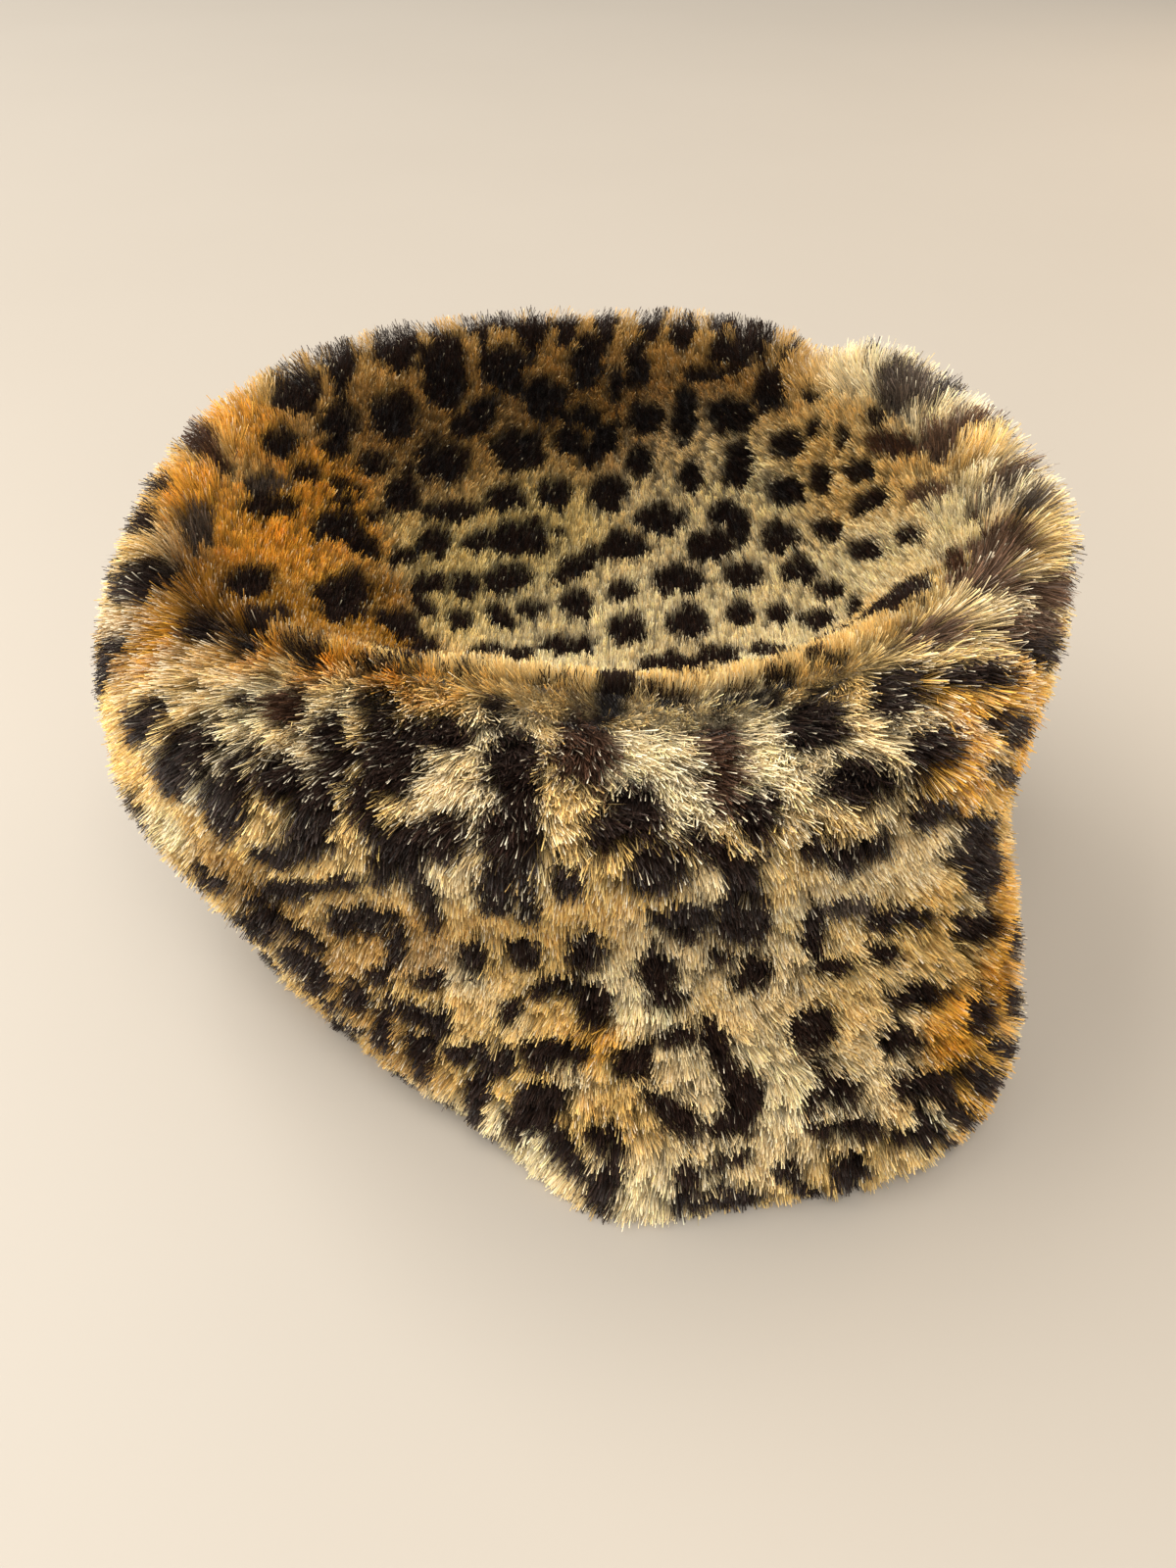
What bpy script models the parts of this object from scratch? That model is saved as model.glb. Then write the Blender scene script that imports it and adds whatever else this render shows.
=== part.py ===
# Pillbox hat of printed pile fabric. It stands on its hem, and the tip of its crown has sunk to a dish.
# Metres, +Z up. The origin lies on the table under the middle of the hat's own box.
# Azimuth 0 is +X, 90 is +Y, and 270 is -Y, the side on which the band's seam shows.
# A level runs up the cloth: 0 is the hem, each whole number is the next ring, and the last is the
# middle of the tip.

from typing import NamedTuple

import bpy
import numpy as np

# Driving sizes
CROWN_HEIGHT = 0.116
HALF_WIDTH = 0.110
HALF_DEPTH = 0.104
CLOTH_THICKNESS = 0.0025
BAND_PILE = 0.009
TIP_PILE = 0.006
SEAM_GAP = 0.0003
LOCK_SIZE = 0.0115


class Ring(NamedTuple):
    """A level section of the cloth, four quarter ellipses round a shifted middle.

    Height is a share of CROWN_HEIGHT. Right, left and shift_right are shares of HALF_WIDTH. Back,
    front and shift_back are shares of HALF_DEPTH.
    """

    name: str
    height: float
    right: float
    left: float
    back: float
    front: float
    shift_right: float
    shift_back: float


RINGS = [
    Ring("hem", 0.00, 0.86, 0.90, 0.88, 0.85, 0.00, -0.04),
    Ring("low", 0.22, 0.96, 0.94, 0.92, 0.87, 0.00, -0.04),
    Ring("waist", 0.55, 1.06, 1.10, 0.97, 0.84, 0.00, 0.00),
    Ring("shoulder", 0.86, 0.99, 1.09, 1.00, 0.93, 0.00, 0.02),
    Ring("crest", 1.00, 0.95, 1.02, 1.04, 0.71, 0.00, 0.04),
    Ring("lip", 0.93, 0.81, 0.86, 0.91, 0.63, 0.00, 0.05),
    Ring("slope", 0.72, 0.58, 0.54, 0.69, 0.45, 0.04, 0.08),
    Ring("floor", 0.60, 0.29, 0.27, 0.35, 0.21, 0.07, 0.12),
    Ring("middle", 0.57, 0.01, 0.01, 0.01, 0.01, 0.07, 0.14),
]
LAST_LEVEL = len(RINGS) - 1


class Fold(NamedTuple):
    """A dent (outward below 0) or a ridge along a short line on the cloth.

    The line starts at an azimuth in degrees and a level, runs on by run_azimuth and run_level, and
    fades over wide_azimuth and wide_level. Outward is a share of HALF_WIDTH, upward of CROWN_HEIGHT.
    """

    name: str
    azimuth: float
    level: float
    run_azimuth: float
    run_level: float
    wide_azimuth: float
    wide_level: float
    outward: float
    upward: float


FOLDS = [
    Fold("flat left front", 222, 0.4, 0, 0.0, 28, 1.4, -0.09, 0.00),
    Fold("front corner", 274, 0.0, 0, 0.0, 13, 1.2, 0.13, 0.00),
    Fold("front bulge", 298, 0.2, 0, 0.0, 20, 1.3, 0.18, 0.00),
    Fold("right front bulge", 322, 0.3, 0, 0.0, 22, 1.4, 0.23, 0.00),
    Fold("right waist dent", 352, 2.0, 0, 0.0, 20, 0.7, -0.19, 0.00),
    Fold("left rim sag", 190, 4.0, 0, 0.0, 35, 1.8, -0.08, -0.085),
    Fold("front rim sag", 285, 4.0, 0, 0.0, 25, 1.0, 0.00, -0.05),
    Fold("left ridge", 200, 1.9, 58, -1.4, 7, 0.30, 0.035, 0.00),
    Fold("right crease", 346, 1.8, -18, -1.3, 5, 0.35, -0.040, 0.00),
    Fold("rim pinch", 52, 3.6, -6, 1.4, 5, 0.50, -0.035, -0.035),
    Fold("rim swell", 38, 4.4, -8, 0.4, 10, 0.60, 0.015, 0.030),
]


class SeamPoint(NamedTuple):
    """A place on a seam: an azimuth in degrees and a level."""

    azimuth: float
    level: float


# The seam between tip and band goes once round, outside the crest in front and inside it elsewhere.
TIP_SEAM = [
    SeamPoint(0, 4.8),
    SeamPoint(45, 4.8),
    SeamPoint(90, 4.2),
    SeamPoint(135, 4.4),
    SeamPoint(180, 4.8),
    SeamPoint(225, 4.5),
    SeamPoint(265, 3.8),
    SeamPoint(295, 3.8),
    SeamPoint(330, 4.4),
]
# The band's own seam runs from the hem to the tip seam.
BAND_SEAM = [SeamPoint(252, 0.0), SeamPoint(254, 1.0), SeamPoint(265, 3.8)]
BAND_SEAM_WIDTH = 4.0

# Shares of the pile: how far the valleys between locks stand out, how far the edge beside a seam does,
# how far a lock's point leans up the cloth (down it below 0), and the least height of a point
VALLEY_SHARE = 0.60
EDGE_SHARE = 0.35
BAND_LEAN_SHARE = -0.50
TIP_LEAN_SHARE = 0.35
HEM_LOCK_SHARE = 0.25

TINY_TURN = 0.01
TINY_LEVEL = 0.01
FINE_STEPS = 48


def ring_points(azimuth):
    """Points of every ring at each azimuth: azimuths by rings by 3."""
    cos, sin = np.cos(azimuth), np.sin(azimuth)
    points = []
    for ring in RINGS:
        side = HALF_WIDTH * np.where(cos >= 0, ring.right, ring.left)
        depth = HALF_DEPTH * np.where(sin >= 0, ring.back, ring.front)
        reach = 1 / np.hypot(cos / side, sin / depth)
        x = ring.shift_right * HALF_WIDTH + reach * cos
        y = ring.shift_back * HALF_DEPTH + reach * sin
        z = np.full_like(azimuth, ring.height * CROWN_HEIGHT)
        points.append(np.stack([x, y, z], axis=-1))
    return np.stack(points, axis=1)


def fold_weight(fold, azimuth, level):
    """How strongly a fold works at a place: 1 on its line, fading to 0 around it."""
    x = ((np.degrees(azimuth) - fold.azimuth + 180) % 360 - 180) / fold.wide_azimuth
    y = (level - fold.level) / fold.wide_level
    run_x = fold.run_azimuth / fold.wide_azimuth
    run_y = fold.run_level / fold.wide_level
    length = max(run_x**2 + run_y**2, 1e-9)
    along = np.clip((x * run_x + y * run_y) / length, 0, 1)
    return np.exp(-((x - along * run_x) ** 2) - (y - along * run_y) ** 2)


def cloth(azimuth, level):
    """Points of the cloth's outer face at azimuths, an array, and levels, azimuths by any count."""
    rings = ring_points(azimuth)
    below = 2 * rings[:, :1] - rings[:, 1:2]
    beyond = 2 * rings[:, -1:] - rings[:, -2:-1]
    beyond[..., 2] = rings[:, -2:-1, 2]
    control = np.concatenate([below, rings, beyond], axis=1)
    start = np.clip(np.floor(level).astype(int), 0, LAST_LEVEL - 1)
    t = (level - start)[..., None]
    p = [np.take_along_axis(control, (start + step)[..., None], axis=1) for step in range(4)]
    points = 0.5 * (
        2 * p[1]
        + (p[2] - p[0]) * t
        + (2 * p[0] - 5 * p[1] + 4 * p[2] - p[3]) * t**2
        + (3 * p[1] - p[0] - 3 * p[2] + p[3]) * t**3
    )
    fade = np.clip(LAST_LEVEL - level, 0, 1)
    turn = azimuth[:, None]
    for fold in FOLDS:
        weight = fold_weight(fold, turn, level) * fade
        points[..., 0] += weight * fold.outward * HALF_WIDTH * np.cos(turn)
        points[..., 1] += weight * fold.outward * HALF_WIDTH * np.sin(turn)
        points[..., 2] += weight * fold.upward * CROWN_HEIGHT
    return points


def directions(azimuth, level):
    """Unit vectors of the cloth at places: out of it, and up it along rising levels."""
    round_it = cloth(azimuth + TINY_TURN, level) - cloth(azimuth - TINY_TURN, level)
    upper = np.minimum(level + TINY_LEVEL, LAST_LEVEL)
    up_it = cloth(azimuth, upper) - cloth(azimuth, level - TINY_LEVEL)
    up_it /= np.linalg.norm(up_it, axis=-1, keepdims=True)
    outward = np.cross(round_it, up_it)
    outward /= np.linalg.norm(outward, axis=-1, keepdims=True)
    return outward, up_it


def seam_level(azimuth):
    """Level of the seam between tip and band at each azimuth."""
    turns = [point.azimuth for point in TIP_SEAM]
    levels = [point.level for point in TIP_SEAM]
    return np.interp(np.degrees(azimuth), turns, levels, period=360)


def seam_edges(azimuth):
    """Levels of the band's upper edge and the tip's edge, SEAM_GAP apart on the cloth."""
    seam = seam_level(azimuth)[:, None]
    step = cloth(azimuth, seam + TINY_LEVEL) - cloth(azimuth, seam - TINY_LEVEL)
    length_per_level = np.linalg.norm(step, axis=-1) / (2 * TINY_LEVEL)
    half_gap = SEAM_GAP / 2 / length_per_level
    return (seam - half_gap)[:, 0], (seam + half_gap)[:, 0]


def band_seam_groove(azimuth, level):
    """Share of the pile that is left by the band's own seam, 1 away from it."""
    turn = np.interp(level, [p.level for p in BAND_SEAM], [p.azimuth for p in BAND_SEAM])
    away = (np.degrees(azimuth)[:, None] - turn) / BAND_SEAM_WIDTH
    return 1 - (1 - EDGE_SHARE) * np.exp(-(away**2))


def equal_steps(azimuth, low, high, count):
    """Levels that divide each column of the cloth from low to high into equal lengths."""
    level = low[:, None] + (high - low)[:, None] * np.linspace(0, 1, FINE_STEPS + 1)
    points = cloth(azimuth, level)
    lengths = np.linalg.norm(np.diff(points, axis=1), axis=-1)
    run = np.concatenate([np.zeros((len(azimuth), 1)), np.cumsum(lengths, axis=1)], axis=1)
    shares = np.linspace(0, 1, count + 1)
    return np.stack([np.interp(shares * run[i, -1], run[i], level[i]) for i in range(len(azimuth))])


def longest_column(azimuth, low, high):
    """Length of the longest column of the cloth between two levels."""
    level = low[:, None] + (high - low)[:, None] * np.linspace(0, 1, FINE_STEPS + 1)
    return np.linalg.norm(np.diff(cloth(azimuth, level), axis=1), axis=-1).sum(axis=1).max()


def lock_grid(azimuth, level, pile, lean_share, edge_row):
    """Corners and points of the fur's locks over a grid of the cloth.

    The pile is cut back to EDGE_SHARE on the edge row and along the band's seam.
    """
    outward, _ = directions(azimuth, level)
    height = pile * VALLEY_SHARE * band_seam_groove(azimuth, level)
    height[:, edge_row] = pile * EDGE_SHARE
    corners = cloth(azimuth, level) + outward * height[..., None]
    middle_turn = azimuth + np.pi / len(azimuth)
    between_columns = (level + np.roll(level, -1, axis=0)) / 2
    middle_level = (between_columns[:, :-1] + between_columns[:, 1:]) / 2
    outward, up_it = directions(middle_turn, middle_level)
    points = cloth(middle_turn, middle_level) + pile * (outward + lean_share * up_it)
    return corners, points


def lining_grid(azimuth, level):
    """The inner face of the cloth, one cloth thickness inside its outer face."""
    outward, _ = directions(azimuth, level)
    return cloth(azimuth, level) - outward * CLOTH_THICKNESS


class Solid:
    """A closed shell under construction: vertices in rings of equal count, and faces."""

    def __init__(self, columns):
        self.columns = columns
        self.points = []
        self.faces = []

    def add(self, points):
        """Adds points and returns the number of the first."""
        first = len(self.points)
        self.points.extend(points.reshape(-1, 3))
        return first

    def add_rings(self, grid):
        """Adds the rings of a grid, columns by rows, and returns the first number of each ring."""
        return [self.add(grid[:, row]) for row in range(grid.shape[1])]

    def locks(self, rings, tips):
        """Covers the space between rings with four-sided points."""
        for row, (low, high) in enumerate(zip(rings, rings[1:])):
            top = self.add(tips[:, row])
            for here in range(self.columns):
                there = (here + 1) % self.columns
                corners = [low + here, low + there, high + there, high + here]
                for one, two in zip(corners, corners[1:] + corners[:1]):
                    self.faces.append((one, two, top + here))

    def walls(self, rings, turned=False):
        """Joins each ring to the next with plain triangles, which face the other way when turned.

        Their diagonals stay where they are, so two walls across a narrow gap stay parallel.
        """
        for low, high in zip(rings, rings[1:]):
            for here in range(self.columns):
                there = (here + 1) % self.columns
                for face in (low + here, low + there, high + there), (low + here, high + there, high + here):
                    self.faces.append(face[::-1] if turned else face)

    def fan(self, ring, middle, facing_out):
        """Closes a ring with triangles to one point in its middle."""
        top = self.add(middle)
        for here in range(self.columns):
            there = (here + 1) % self.columns
            first, second = (here, there) if facing_out else (there, here)
            self.faces.append((ring + first, ring + second, top))


def side_band(azimuth):
    """The strip round the head: locks of fur outside, cloth inside, a flat hem below."""
    solid = Solid(len(azimuth))
    hem = np.zeros_like(azimuth)
    edge, _ = seam_edges(azimuth)
    rows = round(longest_column(azimuth, hem, edge) / LOCK_SIZE)
    level = equal_steps(azimuth, hem, edge, rows)
    corners, tips = lock_grid(azimuth, level, BAND_PILE, BAND_LEAN_SHARE, -1)
    corners[:, 0, 2] = 0
    tips[..., 2] = np.maximum(tips[..., 2], HEM_LOCK_SHARE * BAND_PILE)
    lining = lining_grid(azimuth, level[:, ::2] if rows % 2 == 0 else level)
    lining[:, 0, 2] = 0
    outer = solid.add_rings(corners)
    inner = solid.add_rings(lining)
    solid.locks(outer, tips)
    solid.walls(inner[::-1])
    solid.walls([inner[0], outer[0]])
    solid.walls([outer[-1], inner[-1]])
    return solid


def crown_tip(azimuth):
    """The oval piece on top, sunk to a dish, with a shorter pile."""
    solid = Solid(len(azimuth))
    _, edge = seam_edges(azimuth)
    middle = np.full_like(azimuth, LAST_LEVEL)
    rows = round(longest_column(azimuth, edge, middle) / LOCK_SIZE)
    level = equal_steps(azimuth, edge, middle, rows)[:, :-1]
    corners, tips = lock_grid(azimuth, level, TIP_PILE, TIP_LEAN_SHARE, 0)
    lining = lining_grid(azimuth, level)
    outer = solid.add_rings(corners)
    inner = solid.add_rings(lining)
    solid.locks(outer, tips)
    solid.walls([outer[0], inner[0]], turned=True)
    solid.walls(inner[::-1])
    lowest = cloth(azimuth, middle[:, None]).mean(axis=(0, 1))
    up = np.array([0, 0, 1])
    solid.fan(outer[-1], lowest + up * TIP_PILE * VALLEY_SHARE, True)
    solid.fan(inner[-1], lowest - up * CLOTH_THICKNESS, False)
    return solid


def make_object(name, solid, colour, roughness):
    """Makes a named object with its own material from a finished shell."""
    mesh = bpy.data.meshes.new(name)
    mesh.from_pydata([tuple(point) for point in solid.points], [], solid.faces)
    mesh.update()
    material = bpy.data.materials.new(name)
    material.use_nodes = True
    shader = material.node_tree.nodes["Principled BSDF"]
    shader.inputs["Base Color"].default_value = (*colour, 1)
    shader.inputs["Roughness"].default_value = roughness
    shader.inputs["Metallic"].default_value = 0
    mesh.materials.append(material)
    piece = bpy.data.objects.new(name, mesh)
    bpy.context.scene.collection.objects.link(piece)
    return piece


def main():
    """Builds the two sewn pieces and centres them over the origin."""
    for old in list(bpy.data.objects):
        bpy.data.objects.remove(old, do_unlink=True)
    columns = round(2 * np.pi * (HALF_WIDTH + HALF_DEPTH) / 2 / LOCK_SIZE)
    azimuth = np.arange(columns) * 2 * np.pi / columns
    band = side_band(azimuth)
    tip = crown_tip(azimuth)
    every = np.array(band.points + tip.points)
    centre = (every.min(axis=0) + every.max(axis=0)) / 2
    centre[2] = 0
    for solid in (band, tip):
        solid.points = [point - centre for point in solid.points]
    make_object("side_band", band, (0.46, 0.30, 0.14), 0.8)
    make_object("crown_tip", tip, (0.42, 0.31, 0.17), 0.8)


main()
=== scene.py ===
"""Dresses a soft pillbox hat of spotted pile fabric: its sewn cloth, its printed pile, and a plain studio."""

import logging
import math
from dataclasses import dataclass, field
from enum import Enum

import bpy
import numpy as np
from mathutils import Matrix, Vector
from mathutils.bvhtree import BVHTree


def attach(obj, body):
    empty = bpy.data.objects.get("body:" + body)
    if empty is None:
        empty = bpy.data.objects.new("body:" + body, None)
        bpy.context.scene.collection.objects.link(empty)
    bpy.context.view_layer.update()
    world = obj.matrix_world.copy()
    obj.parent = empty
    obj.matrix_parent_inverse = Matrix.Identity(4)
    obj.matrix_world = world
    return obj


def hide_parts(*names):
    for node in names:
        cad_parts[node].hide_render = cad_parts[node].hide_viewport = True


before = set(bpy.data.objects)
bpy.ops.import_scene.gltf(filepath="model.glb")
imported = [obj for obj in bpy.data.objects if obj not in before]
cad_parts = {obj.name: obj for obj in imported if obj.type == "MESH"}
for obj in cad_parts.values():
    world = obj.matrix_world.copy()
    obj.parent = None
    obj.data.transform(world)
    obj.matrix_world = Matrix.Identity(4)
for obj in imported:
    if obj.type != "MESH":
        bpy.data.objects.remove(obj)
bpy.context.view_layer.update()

LOG = logging.getLogger("hat")
Array = np.ndarray
MM = 0.001
HEM_GAP = 0.2 * MM
BACKING_YARN = "A58F66"


def dyed(code: str) -> tuple[float, float, float]:
    """Turns a dye's code, six hexadecimal digits, into linear red, green and blue."""
    values = [int(code[i : i + 2], 16) / 255 for i in (0, 2, 4)]
    return tuple(v / 12.92 if v <= 0.04045 else ((v + 0.055) / 1.055) ** 2.4 for v in values)


class Coat(Enum):
    """Ground colours of the print."""

    CREAM = dyed("FFEDC2")
    OLIVE = dyed("F2DD9C")
    TAN = dyed("F3D38E")
    GOLD = dyed("F0CB7C")
    RUST = dyed("AC7608")
    AMBER = dyed("EEB23A")
    ASH = dyed("F6E0B0")
    # A darker honey ground; on the back inner wall its darkness is partly painted shade
    SHADED_HONEY = dyed("C49A54")


class Dye(Enum):
    """Colours of the dark marks."""

    INK = dyed("261812")
    BROWN = dyed("4C3324")
    UMBER = dyed("654C3A")
    GREY = dyed("55493F")


# The cloth's form


@dataclass(frozen=True)
class Ring:
    """A level section of the cloth: four quarter ellipses round a shifted middle, in shares of the hat's sizes."""

    name: str
    height: float
    right: float
    left: float
    back: float
    front: float
    shift_right: float
    shift_back: float


@dataclass(frozen=True)
class Fold:
    """A dent or ridge along a short line on the cloth, in degrees, levels and shares of the hat's sizes."""

    name: str
    azimuth: float
    level: float
    run_azimuth: float
    run_level: float
    wide_azimuth: float
    wide_level: float
    outward: float
    upward: float


RINGS = (
    Ring("hem", 0.00, 0.86, 0.90, 0.88, 0.85, 0.00, -0.04),
    Ring("low", 0.22, 0.96, 0.94, 0.92, 0.87, 0.00, -0.04),
    Ring("waist", 0.55, 1.06, 1.10, 0.97, 0.84, 0.00, 0.00),
    Ring("shoulder", 0.86, 0.99, 1.09, 1.00, 0.93, 0.00, 0.02),
    Ring("crest", 1.00, 0.95, 1.02, 1.04, 0.71, 0.00, 0.04),
    Ring("lip", 0.93, 0.81, 0.86, 0.91, 0.63, 0.00, 0.05),
    Ring("slope", 0.72, 0.58, 0.54, 0.69, 0.45, 0.04, 0.08),
    Ring("floor", 0.60, 0.29, 0.27, 0.35, 0.21, 0.07, 0.12),
    Ring("middle", 0.57, 0.01, 0.01, 0.01, 0.01, 0.07, 0.14),
)
LAST_LEVEL = len(RINGS) - 1
FOLDS = (
    Fold("flat left front", 222, 0.4, 0, 0.0, 28, 1.4, -0.09, 0.00),
    Fold("front corner", 274, 0.0, 0, 0.0, 13, 1.2, 0.13, 0.00),
    Fold("front bulge", 298, 0.2, 0, 0.0, 20, 1.3, 0.18, 0.00),
    Fold("right front bulge", 322, 0.3, 0, 0.0, 22, 1.4, 0.23, 0.00),
    Fold("right waist dent", 352, 2.0, 0, 0.0, 20, 0.7, -0.19, 0.00),
    Fold("left rim sag", 190, 4.0, 0, 0.0, 35, 1.8, -0.08, -0.085),
    Fold("front rim sag", 294, 4.0, 0, 0.0, 31, 1.0, 0.00, -0.085),
    Fold("left front rim sag", 226, 4.3, 0, 0.0, 24, 1.0, 0.00, -0.035),
    Fold("left ridge", 200, 1.9, 58, -1.4, 7, 0.30, 0.035, 0.00),
    Fold("right crease", 346, 1.8, -18, -1.3, 5, 0.35, -0.040, 0.00),
    Fold("rim pinch", 52, 3.6, -6, 1.4, 5, 0.50, -0.035, -0.035),
    Fold("rim swell", 38, 4.4, -8, 0.4, 10, 0.60, 0.015, 0.030),
)
# Azimuths in degrees and levels of the seam between tip and band, and of the band's own seam
TIP_SEAM = ((0, 4.8), (45, 4.8), (90, 4.2), (135, 4.4), (180, 4.8), (225, 4.5), (265, 3.8), (295, 3.8), (330, 4.4))
BAND_SEAM = ((252, 0.0), (254, 1.0), (265, 3.8))


def fold_weight(fold: Fold, azimuth: Array, level: Array) -> Array:
    """Says how strongly a fold works at each place.

    Args:
        fold: The fold.
        azimuth: Azimuths in radians.
        level: Levels on the cloth.

    Returns:
        1 on the fold's line, fading to 0 around it.
    """
    x = ((np.degrees(azimuth) - fold.azimuth + 180) % 360 - 180) / fold.wide_azimuth
    y = (level - fold.level) / fold.wide_level
    run_x = fold.run_azimuth / fold.wide_azimuth
    run_y = fold.run_level / fold.wide_level
    along = np.clip((x * run_x + y * run_y) / max(run_x**2 + run_y**2, 1e-9), 0, 1)
    return np.exp(-((x - along * run_x) ** 2) - (y - along * run_y) ** 2)


@dataclass
class ClothForm:
    """The outer face of the hat's cloth as a fine table over azimuth and level."""

    crown_height: float = 0.116
    half_width: float = 0.110
    half_depth: float = 0.104
    middle: tuple[float, float] = (0.005901, 0.001122)
    turns: int = 1440
    steps: int = 60
    points: Array = field(init=False)
    outward: Array = field(init=False)
    upward: Array = field(init=False)

    def __post_init__(self) -> None:
        """Works out the table of points and directions."""
        azimuth = np.arange(self.turns) * 2 * np.pi / self.turns
        level = np.arange(LAST_LEVEL * self.steps + 1) / self.steps
        level = np.broadcast_to(level, (self.turns, len(level)))
        self.points = self.cloth(azimuth, level)
        round_it = np.roll(self.points, -1, axis=0) - np.roll(self.points, 1, axis=0)
        up_it = np.gradient(self.points, axis=1)
        up_it /= np.linalg.norm(up_it, axis=-1, keepdims=True) + 1e-12
        outward = np.cross(round_it, up_it)
        outward /= np.linalg.norm(outward, axis=-1, keepdims=True) + 1e-12
        self.outward, self.upward = outward, up_it

    def cloth(self, azimuth: Array, level: Array) -> Array:
        """Works out points of the cloth.

        Args:
            azimuth: Azimuths in radians.
            level: Levels, a row for each azimuth.

        Returns:
            Points, azimuths by levels by 3.
        """
        cos, sin = np.cos(azimuth), np.sin(azimuth)
        rings = []
        for ring in RINGS:
            side = self.half_width * np.where(cos >= 0, ring.right, ring.left)
            depth = self.half_depth * np.where(sin >= 0, ring.back, ring.front)
            reach = 1 / np.hypot(cos / side, sin / depth)
            x = ring.shift_right * self.half_width + reach * cos + self.middle[0]
            y = ring.shift_back * self.half_depth + reach * sin + self.middle[1]
            rings.append(np.stack([x, y, np.full_like(x, ring.height * self.crown_height)], axis=-1))
        rings = np.stack(rings, axis=1)
        below = 2 * rings[:, :1] - rings[:, 1:2]
        beyond = 2 * rings[:, -1:] - rings[:, -2:-1]
        beyond[..., 2] = rings[:, -2:-1, 2]
        control = np.concatenate([below, rings, beyond], axis=1)
        start = np.clip(np.floor(level).astype(int), 0, LAST_LEVEL - 1)
        t = (level - start)[..., None]
        p = [np.take_along_axis(control, (start + step)[..., None], axis=1) for step in range(4)]
        points = 0.5 * (
            2 * p[1]
            + (p[2] - p[0]) * t
            + (2 * p[0] - 5 * p[1] + 4 * p[2] - p[3]) * t**2
            + (3 * p[1] - p[0] - 3 * p[2] + p[3]) * t**3
        )
        fade = np.clip(LAST_LEVEL - level, 0, 1)
        turn = azimuth[:, None]
        for fold in FOLDS:
            weight = fold_weight(fold, turn, level) * fade
            points[..., 0] += weight * fold.outward * self.half_width * np.cos(turn)
            points[..., 1] += weight * fold.outward * self.half_width * np.sin(turn)
            points[..., 2] += weight * fold.upward * self.crown_height
        return points

    def look_up(self, table: Array, azimuth: Array, level: Array) -> Array:
        """Reads a table between its entries.

        Args:
            table: Points or directions.
            azimuth: Azimuths in radians.
            level: Levels, one for each azimuth.

        Returns:
            Values, one row for each place.
        """
        a = (azimuth / (2 * np.pi) * self.turns) % self.turns
        b = np.clip(level * self.steps, 0, table.shape[1] - 1.001)
        a0, b0 = np.floor(a).astype(int) % self.turns, np.floor(b).astype(int)
        a1 = (a0 + 1) % self.turns
        s, t = (a - np.floor(a))[..., None], (b - b0)[..., None]
        low = table[a0, b0] * (1 - s) + table[a1, b0] * s
        high = table[a0, b0 + 1] * (1 - s) + table[a1, b0 + 1] * s
        return low * (1 - t) + high * t

    def at(self, azimuth: Array, level: Array) -> tuple[Array, Array, Array]:
        """Reads the cloth at places.

        Args:
            azimuth: Azimuths in radians.
            level: Levels, one for each azimuth.

        Returns:
            The points, and the unit directions out of the cloth and up it.
        """
        found = [self.look_up(table, azimuth, level) for table in (self.points, self.outward, self.upward)]
        for directions in found[1:]:
            directions /= np.linalg.norm(directions, axis=-1, keepdims=True) + 1e-12
        return found[0], found[1], found[2]

    def seam(self, azimuth: Array) -> Array:
        """Gives the level of the seam between tip and band at each azimuth."""
        return np.interp(np.degrees(azimuth), [p[0] for p in TIP_SEAM], [p[1] for p in TIP_SEAM], period=360)


def ripple(points: Array, size: float, seed: int, waves: int = 7) -> Array:
    """Makes a smooth pattern of hills and hollows in space.

    Args:
        points: Places, any number by 3.
        size: Length of a wave in metres.
        seed: Number that picks the pattern.
        waves: How many waves are added up.

    Returns:
        Values mostly between -1 and 1.
    """
    draw = np.random.default_rng(seed)
    total = np.zeros(points.shape[:-1])
    for _ in range(waves):
        way = draw.normal(size=3)
        way *= 2 * np.pi / size / np.linalg.norm(way) * draw.uniform(0.7, 1.5)
        total += np.sin(points @ way + draw.uniform(0, 2 * np.pi))
    return total / math.sqrt(waves)


def unit(vectors: Array) -> Array:
    """Brings vectors to length 1."""
    return vectors / (np.linalg.norm(vectors, axis=-1, keepdims=True) + 1e-12)


# The camera


@dataclass(frozen=True)
class View:
    """The camera's place and lens. A pixel counts from the upper left of a picture 1200 by 1600."""

    place: tuple[float, float, float] = (0.0059, -0.2520, 0.2567)
    pitch: float = 42.4
    focal_px: float = 1202.0
    wide_px: int = 1200
    high_px: int = 1600
    sensor: float = 36.0

    def ray(self, x: float, y: float) -> Vector:
        """Looks through a pixel.

        Args:
            x: Pixels from the left.
            y: Pixels from the top.

        Returns:
            The unit direction from the camera.
        """
        pitch = math.radians(self.pitch)
        ahead = Vector((0, math.cos(pitch), -math.sin(pitch)))
        right = Vector((1, 0, 0))
        down = ahead.cross(right)
        way = ahead + right * ((x - self.wide_px / 2) / self.focal_px) + down * ((y - self.high_px / 2) / self.focal_px)
        return way.normalized()

    def make(self) -> bpy.types.Object:
        """Makes the camera and gives it to the scene.

        Returns:
            The camera.
        """
        data = bpy.data.cameras.new("picture_camera")
        data.sensor_width = self.sensor
        data.lens = self.focal_px / self.high_px * self.sensor
        data.clip_start = 0.01
        data.clip_end = 50
        camera = bpy.data.objects.new("picture_camera", data)
        camera.location = self.place
        camera.rotation_euler = (math.radians(90 - self.pitch), 0, 0)
        bpy.context.scene.collection.objects.link(camera)
        bpy.context.scene.camera = camera
        return camera


# The print

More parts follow.
